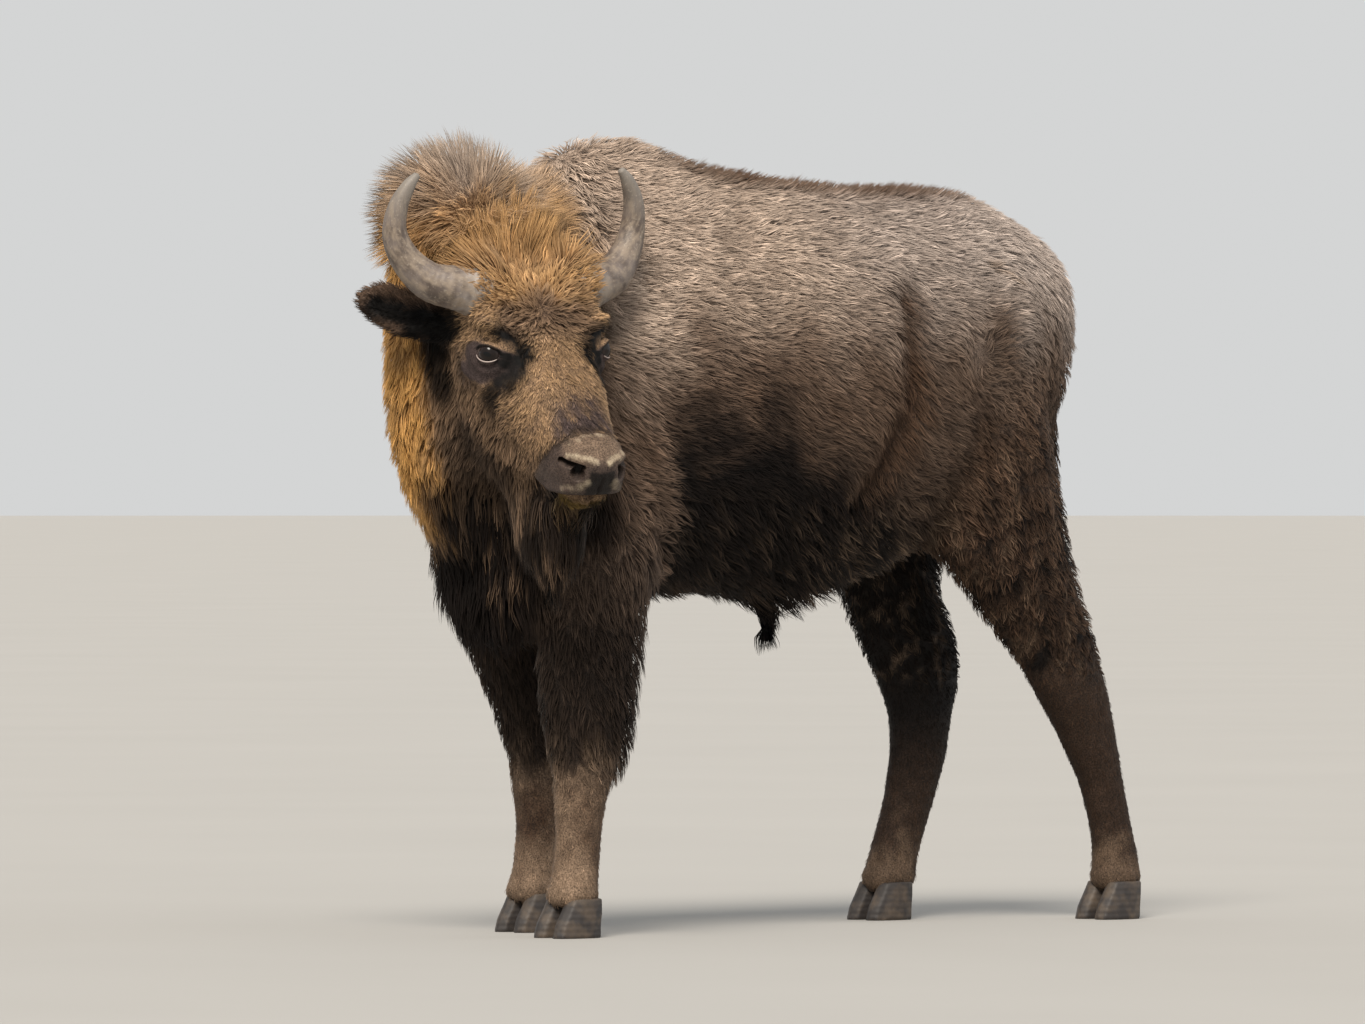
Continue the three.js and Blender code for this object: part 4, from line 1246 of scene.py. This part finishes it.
def eye_material():
    """A wet eye: dark brown iris with a level pupil, under a clear film that gives a sharp highlight."""
    material, tree, shader = new_material("wet_eye")
    x, y, _ = kept_numbers(tree, "eye")
    flat = add(tree, "CombineXYZ", {0: x, 1: y})
    gaze = add(tree, "VectorMath", {0: flat, 1: (-0.16, 0.06, 0)}, operation="ADD")
    # The pupil is a level slot, 0.34 of the eye's radius to each side and 0.18 up and down.
    wide = add(tree, "VectorMath", {0: gaze, 1: (1 / 0.34, 1 / 0.18, 0)}, operation="MULTIPLY")
    pupil = add(tree, "VectorMath", {0: wide}, "Value", operation="LENGTH")
    iris = add(tree, "VectorMath", {0: gaze}, "Value", operation="LENGTH")
    # Grain of the iris about 3 mm across, nine to the eye's radius.
    grain = add(tree, "TexNoise", {"Vector": flat, "Scale": 9.0, "Detail": 4.0})
    brown = add(tree, "Mix", {SHARE: grain, LOWER: linear("#0b0706"), UPPER: linear("#1d120c")}, MIX,
                data_type="RGBA")
    colour = linear("#231a17")
    layers = [(x, -0.55, -0.85, linear("#5d524d")), (iris, 0.66, 0.56, brown),
              (pupil, 1.05, 0.9, linear("#020203"))]
    for value, start, end, paint in layers:
        share = add(tree, "MapRange", {"Value": value, "From Min": start, "From Max": end})
        colour = add(tree, "Mix", {SHARE: share, LOWER: colour, UPPER: paint}, MIX, data_type="RGBA")
    feed(shader, {"Base Color": colour, "Roughness": 0.25, "Specular IOR Level": 0.12, "Coat Weight": 0.4,
                  "Coat Roughness": 0.03})
    return material


def lid_material():
    """The wet edge of an eyelid: bare pinkish grey skin, paler where the tear film gathers."""
    material, tree, shader = new_material("wet_lid_edge")
    place = add(tree, "TexCoord", {}, "Object")
    # Pale beads 6 mm apart.
    cloud = add(tree, "TexNoise", {"Vector": place, "Scale": 1 / (6 * MM), "Detail": 3.0})
    colour = add(tree, "Mix", {SHARE: cloud, LOWER: linear("#8d7d77"), UPPER: linear("#c4b6ae")}, MIX,
                 data_type="RGBA")
    feed(shader, {"Base Color": colour, "Roughness": 0.35})
    return material


def claw_material():
    """Keratin of a hoof, scuffed and muddy: near black with dull brown soil."""
    material, tree, shader = new_material("muddy_hoof")
    place = add(tree, "TexCoord", {}, "Object")
    # Patches of soil 30 mm across, and growth rings of the wall 12 mm apart, coarser than real so that they
    # show. At scale 1 a wave pattern has 10 / pi waves in a metre.
    soil = add(tree, "TexNoise", {"Vector": place, "Scale": 1 / (30 * MM), "Detail": 6.0})
    rings = add(tree, "TexWave", {"Vector": place, "Scale": math.pi / 10 / (11.84 * MM), "Distortion": 1.5},
                1, bands_direction="Z")
    share = add(tree, "MapRange", {"Value": soil, "From Min": 0.42, "From Max": 0.68, "To Max": 0.8})
    colour = add(tree, "Mix", {SHARE: share, LOWER: linear("#2b2624"), UPPER: linear("#574a3d")}, MIX,
                 data_type="RGBA")
    rise = add(tree, "Bump", {"Height": rings, "Distance": 0.8 * MM, "Strength": 0.5})
    feed(shader, {"Base Color": colour, "Roughness": 0.6, "Normal": rise})
    return material


# ---------------------------------------------------------------- putting the animal together

def wear(piece, material, slot, *nodes):
    """Gives a piece its material, its body, and the solids that it stands for; the slot is not used."""
    piece.data.materials.append(material)
    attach(piece, "root")
    if nodes:
        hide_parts(*nodes)


def unwrapped(piece):
    """Lays a piece out flat in its map, and gives the place there of each triangle's three corners."""
    bpy.context.view_layer.objects.active = piece
    piece.select_set(True)
    piece.data.uv_layers.new(name="OFBake")
    bpy.ops.object.mode_set(mode="EDIT")
    bpy.ops.mesh.select_all(action="SELECT")
    bpy.ops.uv.smart_project(angle_limit=1.15, island_margin=0.002, scale_to_bounds=True)
    bpy.ops.object.mode_set(mode="OBJECT")
    return numbers(piece.data.uv_layers["OFBake"].data, "uv", np.float32, 2).reshape(-1, 3, 2)


# For each piece of coat: its kind of hair, the side it is on (-1 is the animal's left, 0 both), steps in a
# lock, locks in a small clump and its pull, locks in a large one and its pull, thickness against half the
# width, sag, and the record's slot.
PIECES = {
    "face_hair": ("face", 0, 2, 4, 0.5, 20, 0.2, 0.9, 0.0, "face_coat"),
    "forehead_curls": ("forehead", 0, 3, 7, 0.8, 30, 0.2, 1.0, 0.0, "face_coat"),
    "crown_hair": ("crown", 0, 4, 7, 0.55, 30, 0.12, 1.2, 0.05, "face_coat"),
    "nape_crest": ("crest", 0, 4, 7, 0.45, 40, 0.2, 1.2, 0.0, "mane_coat"),
    "neck_mane": ("neck", 0, 3, 8, 0.65, 40, 0.3, 1.0, 0.2, "mane_coat"),
    "cheek_hair": ("cheek", 0, 3, 7, 0.7, 30, 0.25, 1.0, 0.3, "face_coat"),
    "throat_mane": ("throat", 0, 4, 7, 0.7, 30, 0.3, 1.0, 0.4, "mane_coat"),
    "beard_hair": ("beard", 0, 4, 7, 0.6, 30, 0.3, 1.0, 0.6, "beard_coat"),
    "sheath_hair": ("sheath", 0, 4, 8, 0.7, 30, 0.3, 1.0, 0.6, "dark_coat"),
    "hump_coat": ("hump", 0, 2, 6, 0.6, 30, 0.2, 0.9, 0.0, "body_coat"),
    "back_ridge": ("ridge", 0, 3, 6, 0.4, 30, 0.1, 1.2, 0.0, "body_coat"),
    "left_flank_coat": ("flank", -1, 2, 5, 0.6, 40, 0.2, 0.9, 0.0, "body_coat"),
    "right_flank_coat": ("flank", 1, 2, 5, 0.6, 40, 0.2, 0.9, 0.0, "body_coat"),
    "belly_hair": ("belly", 0, 3, 8, 0.8, 30, 0.3, 1.0, 0.5, "body_coat"),
    "rump_coat": ("rump", 0, 2, 7, 0.6, 40, 0.15, 1.0, 0.0, "body_coat"),
    "left_thigh_coat": ("thigh", -1, 3, 7, 0.75, 30, 0.2, 1.0, 0.2, "body_coat"),
    "right_thigh_coat": ("thigh", 1, 3, 7, 0.75, 30, 0.2, 1.0, 0.2, "body_coat"),
    "foreleg_coat": ("foreleg", 0, 3, 7, 0.65, 30, 0.2, 1.0, 0.2, "dark_coat"),
    "shin_coat": ("shin", 0, 2, 4, 0.4, 20, 0.1, 0.9, 0.0, "dark_coat"),
    "ear_hair": ("ear", 0, 2, 4, 0.4, 20, 0.1, 1.0, 0.0, "dark_coat"),
    "tail_hair": ("tail", 0, 3, 5, 0.5, 20, 0.2, 1.0, 0.2, "dark_coat"),
}
FIRST_SEED = 100
STANDS_FOR = {"beard_hair": ["beard"], "tail_hair": ["tail_tuft"], "sheath_hair": ["sheath_tuft"]}

skin, node_name = start_skin()
nodes = FLESH + HAIR_ONLY
shares = skin.spread(np.stack([node_name == node for node in nodes], 1).astype(float), 12)
near = dict(zip(nodes, shares.T))
normals = skin.normals()
kinds = skin.spread(hair_kinds(skin.points, normals, near), 4)
lie = coat_lie(skin.points, normals, near, kinds)
hair = kinds @ np.array([COAT[kind] for kind in KINDS], float)
depth = skin.spread(hair[:, DEPTH], 10) * MM * ease(skin.points[:, 2], CORONET - 0.005, CORONET + 0.03)
depth = blend(depth, BOSS_COAT, by_horn(skin.points))
sink(skin, depth)
shape_eyes(skin)
pits = nostril_pits(skin.points)
shape_muzzle(skin, pits)
shape_body(skin, near)
normals = skin.normals()
lie = unit(lie - normals * (lie * normals).sum(1, keepdims=True))
marks = markings(skin.points, normals, near, kinds, pits)
length_shares = length_share(skin.points, normals, near, kinds)

hide = make_piece("hide", skin.points, skin.triangles)
store_markings(hide.data, marks)
wear(hide, skin_material(), "body_coat", *FLESH)
hide_map = unwrapped(hide)


def grow(name, kind, side, steps, few, pull_few, many, pull_many, flat, sag, seed):
    """One piece of coat: its locks, all over the skin where its kind of hair grows most."""
    draw = np.random.default_rng(seed)
    here = kinds[skin.triangles].mean(1).argmax(1) == KINDS.index(kind)
    if side:
        here &= (skin.points[skin.triangles, 1].mean(1) - MIDLINE) * side > 0
    per_metre = hair[:, PER_AREA][skin.triangles].mean(1) * 100
    chosen, corner = scatter(skin, per_metre * here, seed + 100)
    corners = skin.triangles[chosen]

    def at(stored):
        """A value of the skin's points, at each lock's root."""
        return (stored[corners] * corner.reshape(corner.shape + (1,) * (stored.ndim - 1))).sum(1)

    roots, out, way = at(skin.points), unit(at(normals)), at(lie)
    way = way + 0.10 * draw.normal(size=way.shape)
    way = unit(way - out * (way * out).sum(1, keepdims=True))
    _, length, width, lean_root, lean_tip, wave, _ = at(hair).T
    length = length * MM * draw.uniform(0.65, 1.12, len(roots)) * at(length_shares)
    width = width * MM * draw.uniform(0.65, 1.3, len(roots))
    lean = draw.normal(0, 5, len(roots))
    line = paths(roots - out * ROOT_SUNK, out, way, length, lean_root + lean, lean_tip + lean, wave, sag,
                 steps, draw)
    line, first = gathered(line, roots, few, pull_few, draw)
    line, second = gathered(line, roots, many, pull_many, draw)
    strand = 0.6 * draw.random(len(roots)) + 0.4 * draw.random(len(roots))[first]
    clump = 0.5 * draw.random(len(roots))[first] + 0.5 * draw.random(len(roots))[second]
    places = (hide_map[chosen] * corner[..., None]).sum(1)
    return lock_mesh(name, line, out, width, flat, at(marks), places, np.stack([strand, clump], 1))


for number, (name, (*how, slot)) in enumerate(PIECES.items()):
    piece = grow(name, *how, FIRST_SEED + number)
    wear(piece, coat_material(name), slot, *STANDS_FOR.get(name, []))

for side, word in ((1, "left"), (-1, "right")):
    wear(make_horn(side), horn_material(), "horn", "horn_" + word)
    wear(make_eye(side), eye_material(), "eye", "eye_" + word)
    wear(make_lid_edge(side), lid_material(), "face_coat")
hoof = claw_material()
for node in sorted(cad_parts):
    if node.startswith("hoof"):
        wear(make_claw(node), hoof, "hoof", node)


# ---------------------------------------------------------------- floor, light and camera

FLOOR_RADIUS = 200
FLOOR_SIDES = 96
CAMERA_AT = (-14.255, -16.7405, 0.920)
CAMERA_AIM = (-0.1139, 0.1124, 0.836)
LENS = 290.1


def floor_material():
    """Painted studio floor, rolled on: pale, matt, with a faint cloudiness about a metre across."""
    material, tree, shader = new_material("painted_floor")
    place = add(tree, "TexCoord", {}, "Object")
    cloud = add(tree, "TexNoise", {"Vector": place, "Scale": 0.8, "Detail": 3.0})
    colour = add(tree, "Mix", {SHARE: cloud, LOWER: linear("#a09e9a"), UPPER: linear("#a6a4a0")}, MIX,
                 data_type="RGBA")
    feed(shader, {"Base Color": colour, "Roughness": 0.9})
    return material


edge = np.arange(FLOOR_SIDES)
turn = edge * 2 * math.pi / FLOOR_SIDES
rim = FLOOR_RADIUS * np.stack([np.cos(turn), np.sin(turn), 0 * turn], 1)
floor = make_piece("studio_floor", np.concatenate([rim, np.zeros((1, 3))]),
                   np.stack([edge, (edge + 1) % FLOOR_SIDES, np.full(FLOOR_SIDES, FLOOR_SIDES)], 1))
floor.data.materials.append(floor_material())

camera = bpy.data.objects.new("camera", bpy.data.cameras.new("camera"))
camera.location = CAMERA_AT
camera.rotation_mode = "QUATERNION"
camera.rotation_quaternion = (Vector(CAMERA_AIM) - camera.location).to_track_quat("-Z", "Y")
camera.data.lens = LENS
camera.data.sensor_width = 36
camera.data.clip_end = 600
bpy.context.scene.collection.objects.link(camera)
bpy.context.scene.camera = camera


def add_sun(name, toward, strength, softness, colour):
    """A broad, far lamp that shines the given way."""
    lamp = bpy.data.objects.new(name, bpy.data.lights.new(name, "SUN"))
    lamp.data.energy = strength
    lamp.data.angle = math.radians(softness)
    lamp.data.color = linear(colour)[:3]
    lamp.rotation_mode = "QUATERNION"
    lamp.rotation_quaternion = Vector(toward).to_track_quat("-Z", "Y")
    bpy.context.scene.collection.objects.link(lamp)


add_sun("key_light", (0.60, 0.50, -0.90), 4.0, 25, "#fff6ea")
add_sun("fill_light", (-0.9, 0.7, -0.5), 0.3, 60, "#eaf2ff")
world = bpy.data.worlds.new("studio")
world.use_nodes = True
sky = world.node_tree.nodes["Background"]
sky.inputs["Color"].default_value = linear("#dedfdf")
sky.inputs["Strength"].default_value = 0.9
bpy.context.scene.world = world
bpy.context.scene.view_settings.view_transform = "Standard"
